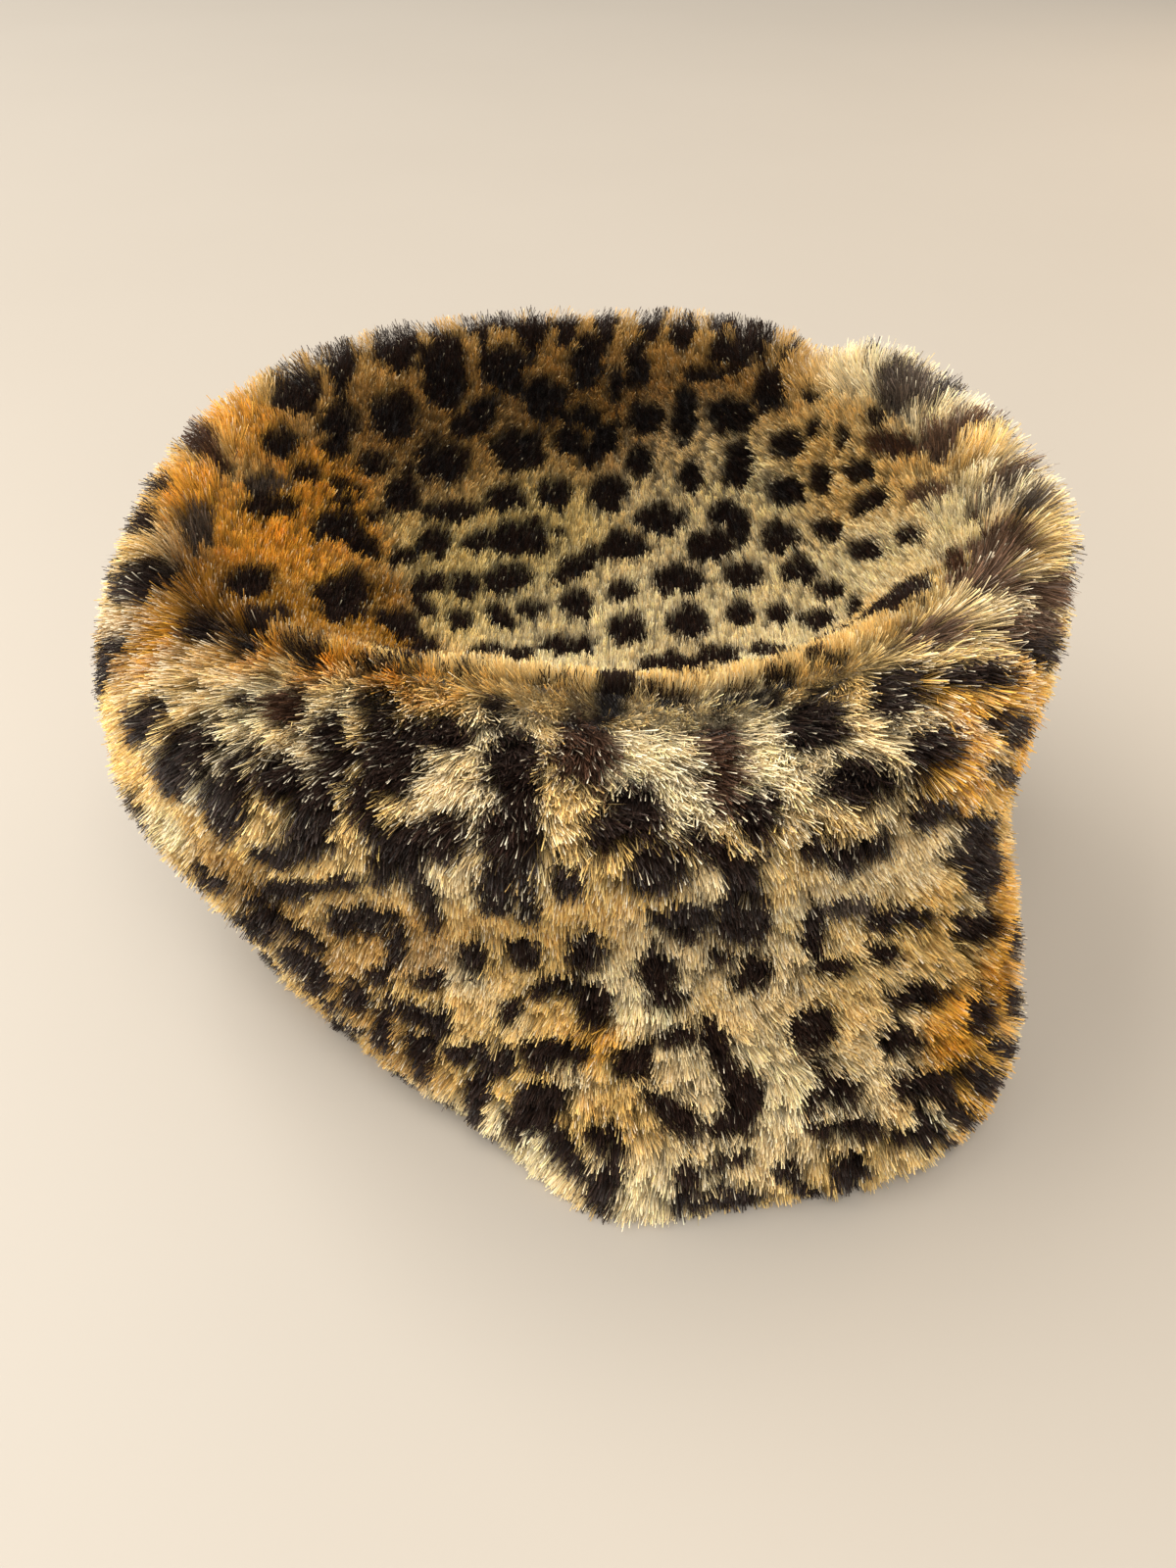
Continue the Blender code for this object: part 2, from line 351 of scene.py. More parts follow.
# Marks read off the fabric one by one: x, y, width and height in pixels, and tilt, 1 up to the right or -1 down
TIP_MARKS = (
    (406, 339, 46, 54, 0), (349, 360, 25, 57, 0), (306, 387, 46, 57, 0), (456, 373, 43, 82, 0), (517, 373, 43, 46, 0),
    (494, 334, 9, 43, 0), (542, 326, 32, 46, 0), (578, 326, 21, 39, 0), (599, 366, 36, 54, 0), (614, 309, 14, 21, 0),
    (617, 319, 21, 32, 0), (664, 319, 21, 29, 0), (696, 326, 29, 32, 0), (649, 369, 25, 54, 0), (628, 391, 14, 36, 0),
    (742, 351, 39, 29, 0), (721, 378, 57, 14, 0), (771, 326, 39, 39, 0), (824, 332, 21, 21, 0), (406, 421, 46, 46, 0),
    (349, 423, 39, 36, 0), (489, 423, 46, 36, 1), (558, 405, 39, 43, 0), (596, 423, 36, 25, 0), (531, 455, 50, 39, 0),
    (453, 466, 54, 43, 0), (385, 466, 36, 21, 0), (346, 451, 32, 21, 0), (289, 444, 39, 29, 0), (317, 475, 29, 18, 0),
    (281, 510, 50, 21, 0), (360, 491, 36, 14, -1), (353, 505, 25, 11, 0), (385, 521, 21, 14, 0),
    (346, 530, 43, 29, 0), (371, 544, 39, 32, -1), (414, 498, 32, 39, 0), (464, 516, 50, 21, 0),
    (521, 503, 36, 29, 0), (567, 498, 32, 32, 0), (621, 500, 39, 36, 0), (446, 548, 32, 29, 0), (485, 548, 21, 18, 0),
    (531, 544, 71, 36, 0), (417, 562, 29, 18, 0), (589, 571, 46, 32, 1), (521, 585, 46, 29, 0), (478, 591, 25, 29, 0),
    (442, 589, 29, 21, 0), (435, 610, 21, 25, -1), (473, 626, 25, 21, 0), (514, 623, 25, 29, -1),
    (544, 614, 29, 18, 0), (589, 610, 32, 29, 0), (256, 587, 84, 42, 1), (353, 603, 54, 50, 0), (271, 621, 56, 34, 0),
    (203, 628, 50, 28, 0), (417, 634, 54, 36, -1), (314, 653, 46, 30, 0), (256, 655, 29, 9, 0), (389, 666, 54, 14, 0),
    (467, 667, 39, 7, 0), (499, 655, 32, 14, 0), (533, 660, 32, 14, 0), (578, 651, 54, 18, 0), (571, 676, 43, 7, 0),
    (781, 394, 32, 46, 0), (824, 398, 18, 18, 0), (592, 423, 32, 21, 0), (656, 426, 39, 32, 0), (696, 419, 25, 50, 0),
    (742, 423, 50, 32, 0), (824, 434, 16, 25, 0), (853, 441, 11, 29, 0), (797, 451, 32, 29, 0), (583, 448, 29, 25, 0),
    (614, 451, 32, 32, 1), (653, 469, 29, 29, 0), (703, 482, 25, 32, 0), (749, 473, 32, 43, 0), (831, 485, 21, 32, 0),
    (869, 476, 29, 21, 0), (796, 498, 36, 29, 0), (674, 525, 46, 32, 0), (738, 520, 29, 32, 0), (749, 530, 29, 29, 0),
    (724, 551, 46, 32, 0), (792, 544, 36, 32, 0), (839, 535, 29, 21, 0), (881, 509, 39, 25, 1), (874, 555, 32, 21, 0),
    (921, 541, 29, 18, 0), (635, 551, 46, 29, 0), (689, 584, 54, 29, 0), (756, 580, 39, 25, 0), (812, 575, 29, 29, 0),
    (842, 596, 29, 18, 0), (867, 612, 11, 25, 0), (635, 596, 25, 21, 0), (753, 618, 25, 29, 0), (790, 619, 21, 25, 0),
    (833, 626, 39, 18, 0), (640, 634, 36, 29, 0), (703, 628, 39, 36, 0), (910, 601, 64, 46, 1), (631, 676, 39, 21, 0),
    (685, 669, 57, 21, 0), (731, 660, 46, 18, 0), (781, 655, 32, 14, 0), (842, 653, 43, 11, 0),
    (685, 691, 61, 18, -1), (753, 694, 43, 18, 1), (796, 673, 29, 14, 0), (789, 701, 29, 18, 0),
)
RIM_MARKS = (
    (149, 487, 32, 21, 0), (131, 523, 32, 32, 0), (149, 576, 54, 32, 0), (124, 594, 36, 29, 0), (96, 609, 29, 21, 0),
    (96, 680, 29, 64, 0), (137, 735, 43, 57, 1), (246, 709, 40, 14, 0), (381, 709, 46, 32, 0), (503, 709, 29, 21, 0),
    (889, 419, 21, 18, 0), (921, 700, 64, 48, 0), (1003, 684, 89, 25, 0), (1038, 742, 32, 29, 0),
    (1069, 662, 36, 36, 0), (850, 689, 45, 12, 1),
)
STREAKED_MARKS = (
    (953, 444, 46, 29, 0), (1003, 419, 57, 21, 0), (1060, 462, 29, 21, 0), (939, 494, 54, 18, 1),
    (1024, 544, 71, 36, 0), (1003, 576, 79, 29, 0), (1081, 601, 43, 36, 0), (960, 637, 71, 32, 0),
    (1060, 637, 46, 29, 0),
)
CREST_MARKS = (
    (174, 781, 39, 61, 0), (221, 821, 43, 68, 0), (281, 789, 54, 39, 0), (335, 760, 32, 71, 0), (392, 767, 57, 71, 0),
    (367, 817, 29, 54, 0), (446, 742, 71, 29, 0), (524, 785, 46, 89, 0), (831, 731, 54, 54, 0), (953, 764, 46, 46, 0),
    (1039, 792, 32, 29, 0), (881, 796, 61, 46, 0), (653, 824, 46, 61, 0), (778, 831, 32, 54, 0),
)
BAND_MARKS = (
    (310, 839, 46, 79, 0), (281, 874, 54, 21, 0), (521, 860, 54, 89, 0), (503, 910, 39, 43, 0), (435, 853, 82, 46, 0),
    (396, 885, 46, 36, 0), (435, 917, 29, 43, -1), (296, 906, 54, 21, 0), (346, 899, 36, 18, 0),
    (364, 935, 71, 29, 0), (403, 967, 21, 32, 0), (481, 974, 29, 39, 0), (435, 999, 36, 21, 0), (539, 924, 21, 29, 0),
    (581, 903, 34, 32, 0), (596, 967, 39, 39, 0), (531, 971, 32, 29, 0), (571, 1006, 64, 21, 0),
    (608, 1025, 29, 50, 0), (521, 1031, 21, 36, 1), (560, 1074, 64, 29, 0), (478, 1074, 39, 25, 0),
    (510, 1085, 29, 29, 0), (310, 987, 50, 32, -1), (310, 953, 39, 21, -1), (264, 921, 32, 21, -1),
    (214, 896, 32, 21, -1), (253, 946, 43, 21, -1), (364, 1017, 32, 29, 0), (385, 994, 29, 18, 0),
    (431, 1035, 57, 29, -1), (351, 1046, 29, 32, 0), (390, 1053, 21, 43, 0), (428, 1078, 29, 46, 0),
    (482, 1128, 26, 52, 0), (554, 1126, 44, 46, 0), (614, 853, 32, 43, 0), (731, 867, 61, 36, -1),
    (674, 892, 54, 46, 0), (760, 899, 39, 36, 0), (699, 939, 54, 32, 0), (760, 935, 54, 39, 0), (835, 864, 32, 29, 0),
    (867, 878, 39, 25, 0), (896, 864, 32, 21, 0), (956, 828, 46, 29, 0), (999, 871, 57, 64, 0),
    (1003, 839, 54, 21, 0), (1003, 946, 46, 32, 0), (831, 953, 21, 54, 0), (849, 985, 43, 21, 0),
    (917, 935, 64, 25, 0), (903, 971, 29, 21, 0), (771, 992, 39, 36, 0), (739, 978, 29, 14, 0), (671, 989, 39, 39, 0),
    (685, 1021, 36, 21, 0), (828, 1049, 39, 54, 0), (939, 1014, 64, 29, 0), (917, 1060, 46, 25, 0),
    (1003, 1031, 29, 39, 0), (735, 1074, 32, 71, -1), (692, 1056, 43, 21, 0), (646, 1085, 46, 29, 0),
    (856, 1110, 46, 29, 0), (946, 1106, 54, 32, 0), (1010, 1103, 36, 29, 0), (687, 1134, 54, 40, -1),
    (524, 1152, 25, 37, 0), (575, 1174, 33, 37, -1), (615, 1160, 35, 29, 0), (630, 1186, 17, 33, 0),
    (613, 1203, 45, 25, 0), (617, 1221, 25, 17, 0), (758, 1125, 37, 53, 0), (742, 1148, 49, 20, 0),
    (828, 1121, 16, 20, 0), (873, 1150, 57, 22, 0), (834, 1148, 24, 16, 0), (1028, 1068, 29, 20, 0),
    (991, 1148, 33, 16, 0), (944, 1144, 20, 12, 0), (926, 1160, 33, 20, 0), (950, 1166, 25, 20, 0),
    (975, 1174, 25, 12, 0), (740, 1184, 41, 16, 1), (701, 1199, 25, 25, 0), (709, 1221, 53, 18, 0),
    (756, 1219, 45, 18, 0), (803, 1193, 27, 20, 0), (871, 1193, 41, 25, 0), (869, 1213, 29, 12, 0),
    (828, 1225, 20, 10, 0), (1026, 1131, 12, 10, 0),
)
SOFT_BROWN_MARKS = (
    (599, 752, 55, 85, 0), (739, 764, 39, 93, 0), (903, 448, 46, 21, 0), (289, 712, 36, 36, 0), (192, 437, 64, 43, 0),
    (991, 512, 18, 15, 0), (970, 563, 18, 24, 0),
)
GREY_MARKS = (
    (924, 387, 64, 50, 0), (274, 485, 46, 21, 0), (203, 530, 36, 43, 0), (867, 924, 54, 21, 0),
    (1039, 482, 45, 24, 1), (1054, 506, 36, 18, 0),
)
# Ground colours named area by area, the shaded honey partly painted shade on the back inner wall: x and y in pixels,
# radius in millimetres
COAT_AREAS = (
    (230, 590, 13, Coat.RUST), (300, 620, 14, Coat.RUST), (310, 560, 10, Coat.AMBER), (200, 635, 9, Coat.RUST),
    (360, 630, 11, Coat.RUST), (180, 490, 9, Coat.AMBER), (250, 420, 9, Coat.AMBER), (290, 530, 10, Coat.AMBER),
    (336, 490, 10, Coat.AMBER), (360, 540, 8, Coat.AMBER), (230, 540, 8, Coat.AMBER), (400, 600, 6, Coat.RUST),
    (420, 650, 6, Coat.RUST), (250, 660, 5, Coat.AMBER), (330, 668, 5, Coat.AMBER), (400, 680, 5, Coat.AMBER),
    (470, 692, 6, Coat.GOLD), (553, 700, 6, Coat.TAN), (620, 710, 6, Coat.TAN), (690, 718, 6, Coat.CREAM),
    (760, 712, 6, Coat.CREAM), (160, 650, 6, Coat.AMBER), (446, 390, 24, Coat.SHADED_HONEY), (640, 360, 24, Coat.SHADED_HONEY),
    (780, 360, 11, Coat.SHADED_HONEY), (540, 330, 16, Coat.SHADED_HONEY), (520, 550, 22, Coat.OLIVE), (450, 470, 14, Coat.SHADED_HONEY),
    (340, 380, 12, Coat.SHADED_HONEY), (643, 620, 22, Coat.CREAM), (560, 640, 14, Coat.CREAM), (700, 480, 16, Coat.CREAM),
    (760, 560, 18, Coat.CREAM), (860, 480, 12, Coat.TAN), (857, 580, 12, Coat.CREAM), (480, 620, 10, Coat.OLIVE),
    (800, 640, 12, Coat.CREAM), (890, 360, 9, Coat.CREAM), (960, 400, 9, Coat.CREAM), (946, 468, 7, Coat.TAN),
    (985, 455, 5, Coat.GOLD), (1010, 490, 9, Coat.CREAM), (1072, 566, 7, Coat.TAN), (960, 540, 8, Coat.CREAM),
    (900, 560, 7, Coat.CREAM), (1030, 610, 8, Coat.ASH), (1000, 655, 7, Coat.TAN), (930, 655, 6, Coat.TAN),
    (973, 720, 6, Coat.AMBER), (1040, 700, 7, Coat.AMBER), (1050, 770, 8, Coat.AMBER), (985, 800, 7, Coat.AMBER),
    (940, 740, 6, Coat.ASH), (900, 760, 6, Coat.ASH), (855, 770, 6, Coat.ASH), (804, 760, 8, Coat.CREAM),
    (661, 765, 8, Coat.CREAM), (700, 800, 6, Coat.CREAM), (571, 800, 7, Coat.TAN), (575, 860, 7, Coat.TAN),
    (640, 900, 8, Coat.GOLD), (560, 950, 8, Coat.GOLD), (600, 1062, 4, Coat.AMBER), (585, 1035, 6, Coat.GOLD),
    (652, 1142, 8, Coat.GOLD), (640, 1010, 6, Coat.CREAM), (660, 1215, 9, Coat.CREAM), (542, 1195, 8, Coat.CREAM),
    (452, 1121, 9, Coat.CREAM), (475, 790, 8, Coat.ASH), (500, 740, 6, Coat.CREAM), (440, 720, 5, Coat.GOLD),
    (395, 715, 6, Coat.GOLD), (330, 710, 6, Coat.CREAM), (240, 720, 9, Coat.CREAM), (300, 740, 6, Coat.ASH),
    (134, 646, 8, Coat.RUST), (180, 700, 9, Coat.TAN), (95, 650, 6, Coat.SHADED_HONEY), (110, 740, 8, Coat.GOLD),
    (200, 760, 6, Coat.CREAM), (270, 830, 8, Coat.TAN), (340, 880, 9, Coat.TAN), (440, 900, 7, Coat.ASH),
    (470, 930, 6, Coat.TAN), (400, 950, 9, Coat.SHADED_HONEY), (250, 900, 9, Coat.SHADED_HONEY), (330, 1000, 10, Coat.SHADED_HONEY),
    (400, 1070, 9, Coat.SHADED_HONEY), (480, 1050, 7, Coat.TAN), (690, 960, 7, Coat.ASH), (741, 905, 6, Coat.ASH),
    (800, 900, 6, Coat.TAN), (701, 1100, 8, Coat.ASH), (722, 1165, 8, Coat.ASH), (799, 1110, 10, Coat.CREAM),
    (791, 1170, 7, Coat.ASH), (790, 1000, 8, Coat.ASH), (864, 1133, 6, Coat.ASH), (860, 1020, 10, Coat.TAN),
    (880, 890, 8, Coat.ASH), (950, 870, 7, Coat.ASH), (900, 1080, 8, Coat.ASH), (964, 960, 8, Coat.GOLD),
    (982, 1057, 9, Coat.AMBER), (1030, 1000, 8, Coat.AMBER), (909, 1199, 8, Coat.TAN), (1011, 1130, 8, Coat.AMBER),
    (1045, 900, 8, Coat.GOLD), (1056, 930, 8, Coat.AMBER), (1062, 1010, 8, Coat.AMBER),
)


class Print:
    """The printed pattern: marks and ground colours placed on the pile's outer face.

    What the picture shows is charted. What it hides gets rosettes and dots of the same size.
    """

    pile_face: float = 6.5 * MM
    longest_half: float = 13 * MM
    depth: float = 13 * MM
    spacing: float = 27 * MM
    dot_spacing: float = 11 * MM
    # A pixel that misses the hat is moved towards this one, by this share of the way, this many times
    inside: tuple[float, float] = (600, 700)
    nudge: float = 0.015
    nudges: int = 5
    # Marks are laid out on a plane that the camera sees at least this steeply, as a sine
    flattest: float = 0.16
    tilted_share: float = 0.62
    tilted_least_px: float = 2
    cover: float = 5 * MM
    rosette_tries: int = 900
    dot_tries: int = 5000
    ring_radius: tuple[float, float] = (7.5 * MM, 9.5 * MM)
    ring_half: tuple[float, float] = (5.0 * MM, 7.4 * MM)
    ring_thick: tuple[float, float] = (3.3 * MM, 5.0 * MM)
    ring_middle: float = 6 * MM
    dot_half: tuple[float, float] = (3.2 * MM, 5.0 * MM)
    mark_edge: float = 1.14
    edge_blur: float = 0.20
    plain_weight: float = 0.10
    area_spread: float = 1.2

    def __init__(self, form: ClothForm, view: View) -> None:
        """Places every mark on the pile.

        Args:
            form: The cloth.
            view: The camera whose pixels the charts count in.
        """
        self.form = form
        self.view = view
        self.tree = self.make_tree()
        self.centres: list[Array] = []
        self.duals: list[Array] = []
        self.normals: list[Array] = []
        self.dyes: list[Dye] = []
        self.areas: list[tuple[Array, float, Coat]] = []
        for chart, dye, spread in (
            (TIP_MARKS, Dye.INK, 1.12),
            (RIM_MARKS, Dye.INK, 1.15),
            (STREAKED_MARKS, Dye.UMBER, 1.12),
            (CREST_MARKS, Dye.INK, 1.24),
            (BAND_MARKS, Dye.INK, 1.19),
            (SOFT_BROWN_MARKS, Dye.BROWN, 1.22),
            (GREY_MARKS, Dye.GREY, 1.05),
        ):
            for x, y, wide, high, tilt in chart:
                self.chart_mark(x, y, wide * spread, high * spread, tilt, dye)
        for x, y, radius, coat in COAT_AREAS:
            spot = self.find(x, y)
            if spot:
                self.areas.append((spot[0], radius * MM, coat))
        self.scatter()

    def make_tree(self) -> BVHTree:
        """Makes the pile's outer face as a net.

        Returns:
            The net, for sight lines from the camera.
        """
        turn_step, level_step = 8, 6
        face = self.form.points + self.form.outward * self.pile_face
        face = face[::turn_step, ::level_step]
        turns, levels = face.shape[:2]
        polygons = []
        for i in range(turns):
            j = (i + 1) % turns
            for k in range(levels - 1):
                polygons.append((i * levels + k, j * levels + k, j * levels + k + 1, i * levels + k + 1))
        return BVHTree.FromPolygons([Vector(p) for p in face.reshape(-1, 3)], polygons)

    def find(self, x: float, y: float) -> tuple[Array, Array] | None:
        """Finds the place on the pile behind a pixel.

        Args:
            x: Pixels from the left.
            y: Pixels from the top.

        Returns:
            The point and its outward direction, or nothing where the pixel misses the hat by far.
        """
        start = Vector(self.view.place)
        for _ in range(self.nudges):
            way = self.view.ray(x, y)
            place, normal, _, _ = self.tree.ray_cast(start, way)
            if place is not None:
                break
            x += (self.inside[0] - x) * self.nudge
            y += (self.inside[1] - y) * self.nudge
        else:
            return None
        if normal.dot(way) > 0:
            normal.negate()
        return np.array(place), np.array(normal)

    def on_plane(self, place: Array, normal: Array, x: float, y: float) -> Array:
        """Follows a pixel to the flat plane through a place near it, turned up where it is seen edge-on.

        Args:
            place: The place.
            normal: Direction out of the pile there.
            x: The pixel, from the left.
            y: The pixel, from the top.

        Returns:
            Where the pixel lies in the plane, measured from the place.
        """
        start = np.array(self.view.place)
        way = np.array(self.view.ray(x, y))
        sight = unit(place - start)
        normal = unit(normal - max(sight @ normal + self.flattest, 0) * sight)
        reach = ((place - start) @ normal) / min(way @ normal, -self.flattest / 2)
        return start + way * reach - place

    def stamp(self, place: Array, normal: Array, across: Array, upward: Array, dye: Dye) -> None:
        """Adds one mark.

        Args:
            place: Its middle.
            normal: Direction out of the pile there.
            across: Half its size one way.
            upward: Half its size the other way.
            dye: Its colour.
        """
        halves = []
        for half in (across, upward):
            length = np.linalg.norm(half)
            halves.append(half * min(1.0, self.longest_half / max(length, 1e-6)))
        self.centres.append(place)
        self.duals.append(np.linalg.pinv(np.stack(halves, axis=1)))
        self.normals.append(normal)
        self.dyes.append(dye)

    def chart_mark(self, x: float, y: float, wide: float, high: float, tilt: int, dye: Dye) -> None:
        """Adds a mark that is charted by its pixels.

        Args:
            x: Its middle, from the left.
            y: Its middle, from the top.
            wide: Its width.
            high: Its height.
            tilt: 1 where it rises to the right, -1 where it falls, 0 otherwise.
            dye: Its colour.
        """
        spot = self.find(x, y)
        if spot is None:
            return
        place, normal = spot
        half_x, half_y = wide / 2, high / 2
        if tilt:
            length = math.hypot(half_x, half_y)
            short = self.tilted_share * min(half_x, half_y) + self.tilted_least_px
            ends = ((half_x, -tilt * half_y), (tilt * half_y * short / length, half_x * short / length))
        else:
            ends = ((half_x, 0), (0, half_y))
        across, upward = (self.on_plane(place, normal, x + dx, y + dy) for dx, dy in ends)
        self.stamp(place, normal, across, upward, dye)

    def seen(self, place: Array) -> bool:
        """Tells whether the picture shows a place of the pile.

        Args:
            place: The place.

        Returns:
            True where nothing of the hat lies between it and the camera.
        """
        start = Vector(self.view.place)
        way = Vector(place) - start
        hit, _, _, reach = self.tree.ray_cast(start, way.normalized())
        return hit is not None and reach > way.length - self.cover

    def scatter(self) -> None:
        """Fills what the picture doesn't show: rosettes and dots on the band, dots on the tip."""
        draw = np.random.default_rng(41)
        taken = list(self.centres)
        rosettes: list[Array] = []
        for _ in range(self.rosette_tries):
            azimuth = np.array([draw.uniform(0, 2 * np.pi)])
            level = np.array([draw.uniform(0.1, 3.9)])
            cloth, outward, upward = (v[0] for v in self.form.at(azimuth, level))
            place = cloth + outward * self.pile_face
            if self.seen(place):
                continue
            near = min((np.linalg.norm(place - other) for other in rosettes), default=1.0)
            charted = min(np.linalg.norm(place - other) for other in taken)
            if near < self.spacing or charted < self.spacing * 0.55:
                continue
            rosettes.append(place)
            self.rosette(place, outward, upward, draw)
        every = taken + self.centres[len(taken) :]
        for _ in range(self.dot_tries):
            azimuth = np.array([draw.uniform(0, 2 * np.pi)])
            level = np.array([draw.uniform(0.05, 6.5)])
            cloth, outward, upward = (v[0] for v in self.form.at(azimuth, level))
            place = cloth + outward * self.pile_face
            if min(np.linalg.norm(place - other) for other in every) < self.dot_spacing or self.seen(place):
                continue
            turned = draw.uniform(0, np.pi)
            beside = np.cross(upward, outward)
            long_way = upward * math.cos(turned) + beside * math.sin(turned)
            short_way = np.cross(long_way, outward)
            half = draw.uniform(*self.dot_half)
            self.stamp(place, outward, long_way * half * draw.uniform(1.0, 1.6), short_way * half, Dye.INK)
            every.append(place)

    def rosette(self, place: Array, outward: Array, upward: Array, draw: np.random.Generator) -> None:
        """Adds a broken ring of three or four marks round a pale middle.

        Args:
            place: The ring's middle.
            outward: Direction out of the pile.
            upward: Direction up the cloth.
            draw: Source of the ring's own variation.
        """
        beside = np.cross(upward, outward)
        radius = draw.uniform(*self.ring_radius)
        count = int(draw.integers(3, 5))
        start = draw.uniform(0, 2 * np.pi)
        for i in range(count):
            angle = start + 2 * np.pi * i / count + draw.uniform(-0.25, 0.25)
            spoke = beside * math.cos(angle) + upward * math.sin(angle)
            along = beside * -math.sin(angle) + upward * math.cos(angle)
            half = draw.uniform(*self.ring_half)
            thick = draw.uniform(*self.ring_thick)
            self.stamp(place + spoke * radius, outward, along * half, spoke * thick, Dye.INK)
        self.areas.append((place, self.ring_middle, Coat.ASH))

    def dye_amounts(self, points: Array) -> tuple[Array, Array]:
        """Works out the dark dye at places of the pile.

        Args:
            points: Places, any number by 3.

        Returns:
            How dark each place is dyed, 0 to 1, and the dye's colour there.
        """
        order = np.argsort(points[:, 0])
        spots = points[order]
        wobble = 0.17 * ripple(spots, 8 * MM, 5) + 0.10 * ripple(spots, 3.2 * MM, 6)
        nearest = np.full(len(spots), 9.0)
        colour = np.tile(np.array(Dye.INK.value), (len(spots), 1))
        reach = self.longest_half * 1.5
        for centre, dual, normal, dye in zip(self.centres, self.duals, self.normals, self.dyes):
            first, last = np.searchsorted(spots[:, 0], (centre[0] - reach, centre[0] + reach))
            offset = spots[first:last] - centre
            inside = np.flatnonzero((np.abs(offset[:, 1]) < reach) & (np.abs(offset[:, 2]) < reach))
            offset = offset[inside]
            flat = offset @ dual.T
            deep = np.maximum(np.abs(offset @ normal) / self.depth - 0.5, 0) * 2
            away = np.sqrt((flat**2).sum(axis=1) + deep**2)
            index = first + inside
            closer = away < nearest[index]
            nearest[index[closer]] = away[closer]
            colour[index[closer]] = dye.value
        amount = np.clip((self.mark_edge + wobble - nearest) / self.edge_blur, 0, 1)
        amount = amount * amount * (3 - 2 * amount)
        back = np.empty_like(order)
        back[order] = np.arange(len(order))
        return amount[back], colour[back]

    def ground(self, points: Array) -> Array:
        """Works out the ground colour at places of the pile.

        Args:
            points: Places, any number by 3.

        Returns:
            A colour for each place.
        """
        blend = np.clip(0.5 + 0.5 * ripple(points, 55 * MM, 11), 0, 1)[:, None]
        plain = np.array(Coat.TAN.value) * (1 - blend) + np.array(Coat.GOLD.value) * blend
        pale = np.clip(ripple(points, 30 * MM, 12) - 0.3, 0, 1)[:, None]
        plain = plain * (1 - pale) + np.array(Coat.CREAM.value) * pale
        total = np.full((len(points), 1), self.plain_weight)
        colour = plain * total
        for place, radius, coat in self.areas:
            distance = ((points - place) ** 2).sum(axis=1) / (radius * self.area_spread) ** 2
            weight = np.exp(-(distance**1.5))[:, None]
            colour += weight * np.array(coat.value)
            total += weight
        return colour / total


# Finishes


class NodeBench:
    """A short way to lay out shader nodes in one tree."""

    def __init__(self, tree: bpy.types.NodeTree) -> None:
        """Keeps the tree that is worked on."""
        self.tree = tree

    def add(self, kind: str, values: dict | None = None, **settings) -> bpy.types.Node:
        """Adds a node.

        Args:
            kind: The node's type.
            values: Input names or numbers with a value, or an output to link from.
            settings: Properties of the node.

        Returns:
            The node.
        """
        node = self.tree.nodes.new(kind)
        for name, value in settings.items():
            setattr(node, name, value)
        for name, value in (values or {}).items():
            socket = node.inputs[name]
            if isinstance(value, bpy.types.NodeSocket):
                self.tree.links.new(value, socket)
            else:
                socket.default_value = value
        return node

    def link(self, source: bpy.types.NodeSocket, target: bpy.types.NodeSocket) -> None:
        """Links two sockets."""
        self.tree.links.new(source, target)


def new_group(name: str, inputs: dict, outputs: dict) -> tuple[bpy.types.NodeTree, NodeBench, dict, bpy.types.Node]:
    """Makes an empty node group with named sockets.

    Args:
        name: The group's name.
        inputs: Socket names with their kind and default value.
        outputs: Socket names with their kind.

    Returns:
        The group, a bench on it, its input sockets by name, and its output node.
    """
    group = bpy.data.node_groups.new(name, "ShaderNodeTree")
    for label, (kind, value) in inputs.items():
        socket = group.interface.new_socket(name=label, in_out="INPUT", socket_type=kind)
        if value is not None:
            socket.default_value = value
    for label, kind in outputs.items():
        group.interface.new_socket(name=label, in_out="OUTPUT", socket_type=kind)
    start = group.nodes.new("NodeGroupInput")
    end = group.nodes.new("NodeGroupOutput")
    sockets = {label: start.outputs[label] for label in inputs}
    return group, NodeBench(group), sockets, end


# Along a strand, from 0 at its root to 1: where its painted shade ends, and where its pale tip with painted highlight
# starts
SHADE_ENDS = 0.75
PALE_TIP_HIGHLIGHT_STARTS = 0.60
# Darkest and lightest tone, and glossiest and dullest roughness, of the strands and of the knit; the knit's tone
# follows its relief, as painted shade in its hollows
STRAND_TONES = (0.78, 1.24)
STRAND_ROUGHNESS = (0.38, 0.60)
KNIT_HOLLOW_SHADE = (0.72, 1.08)
KNIT_ROUGHNESS = (0.78, 0.95)


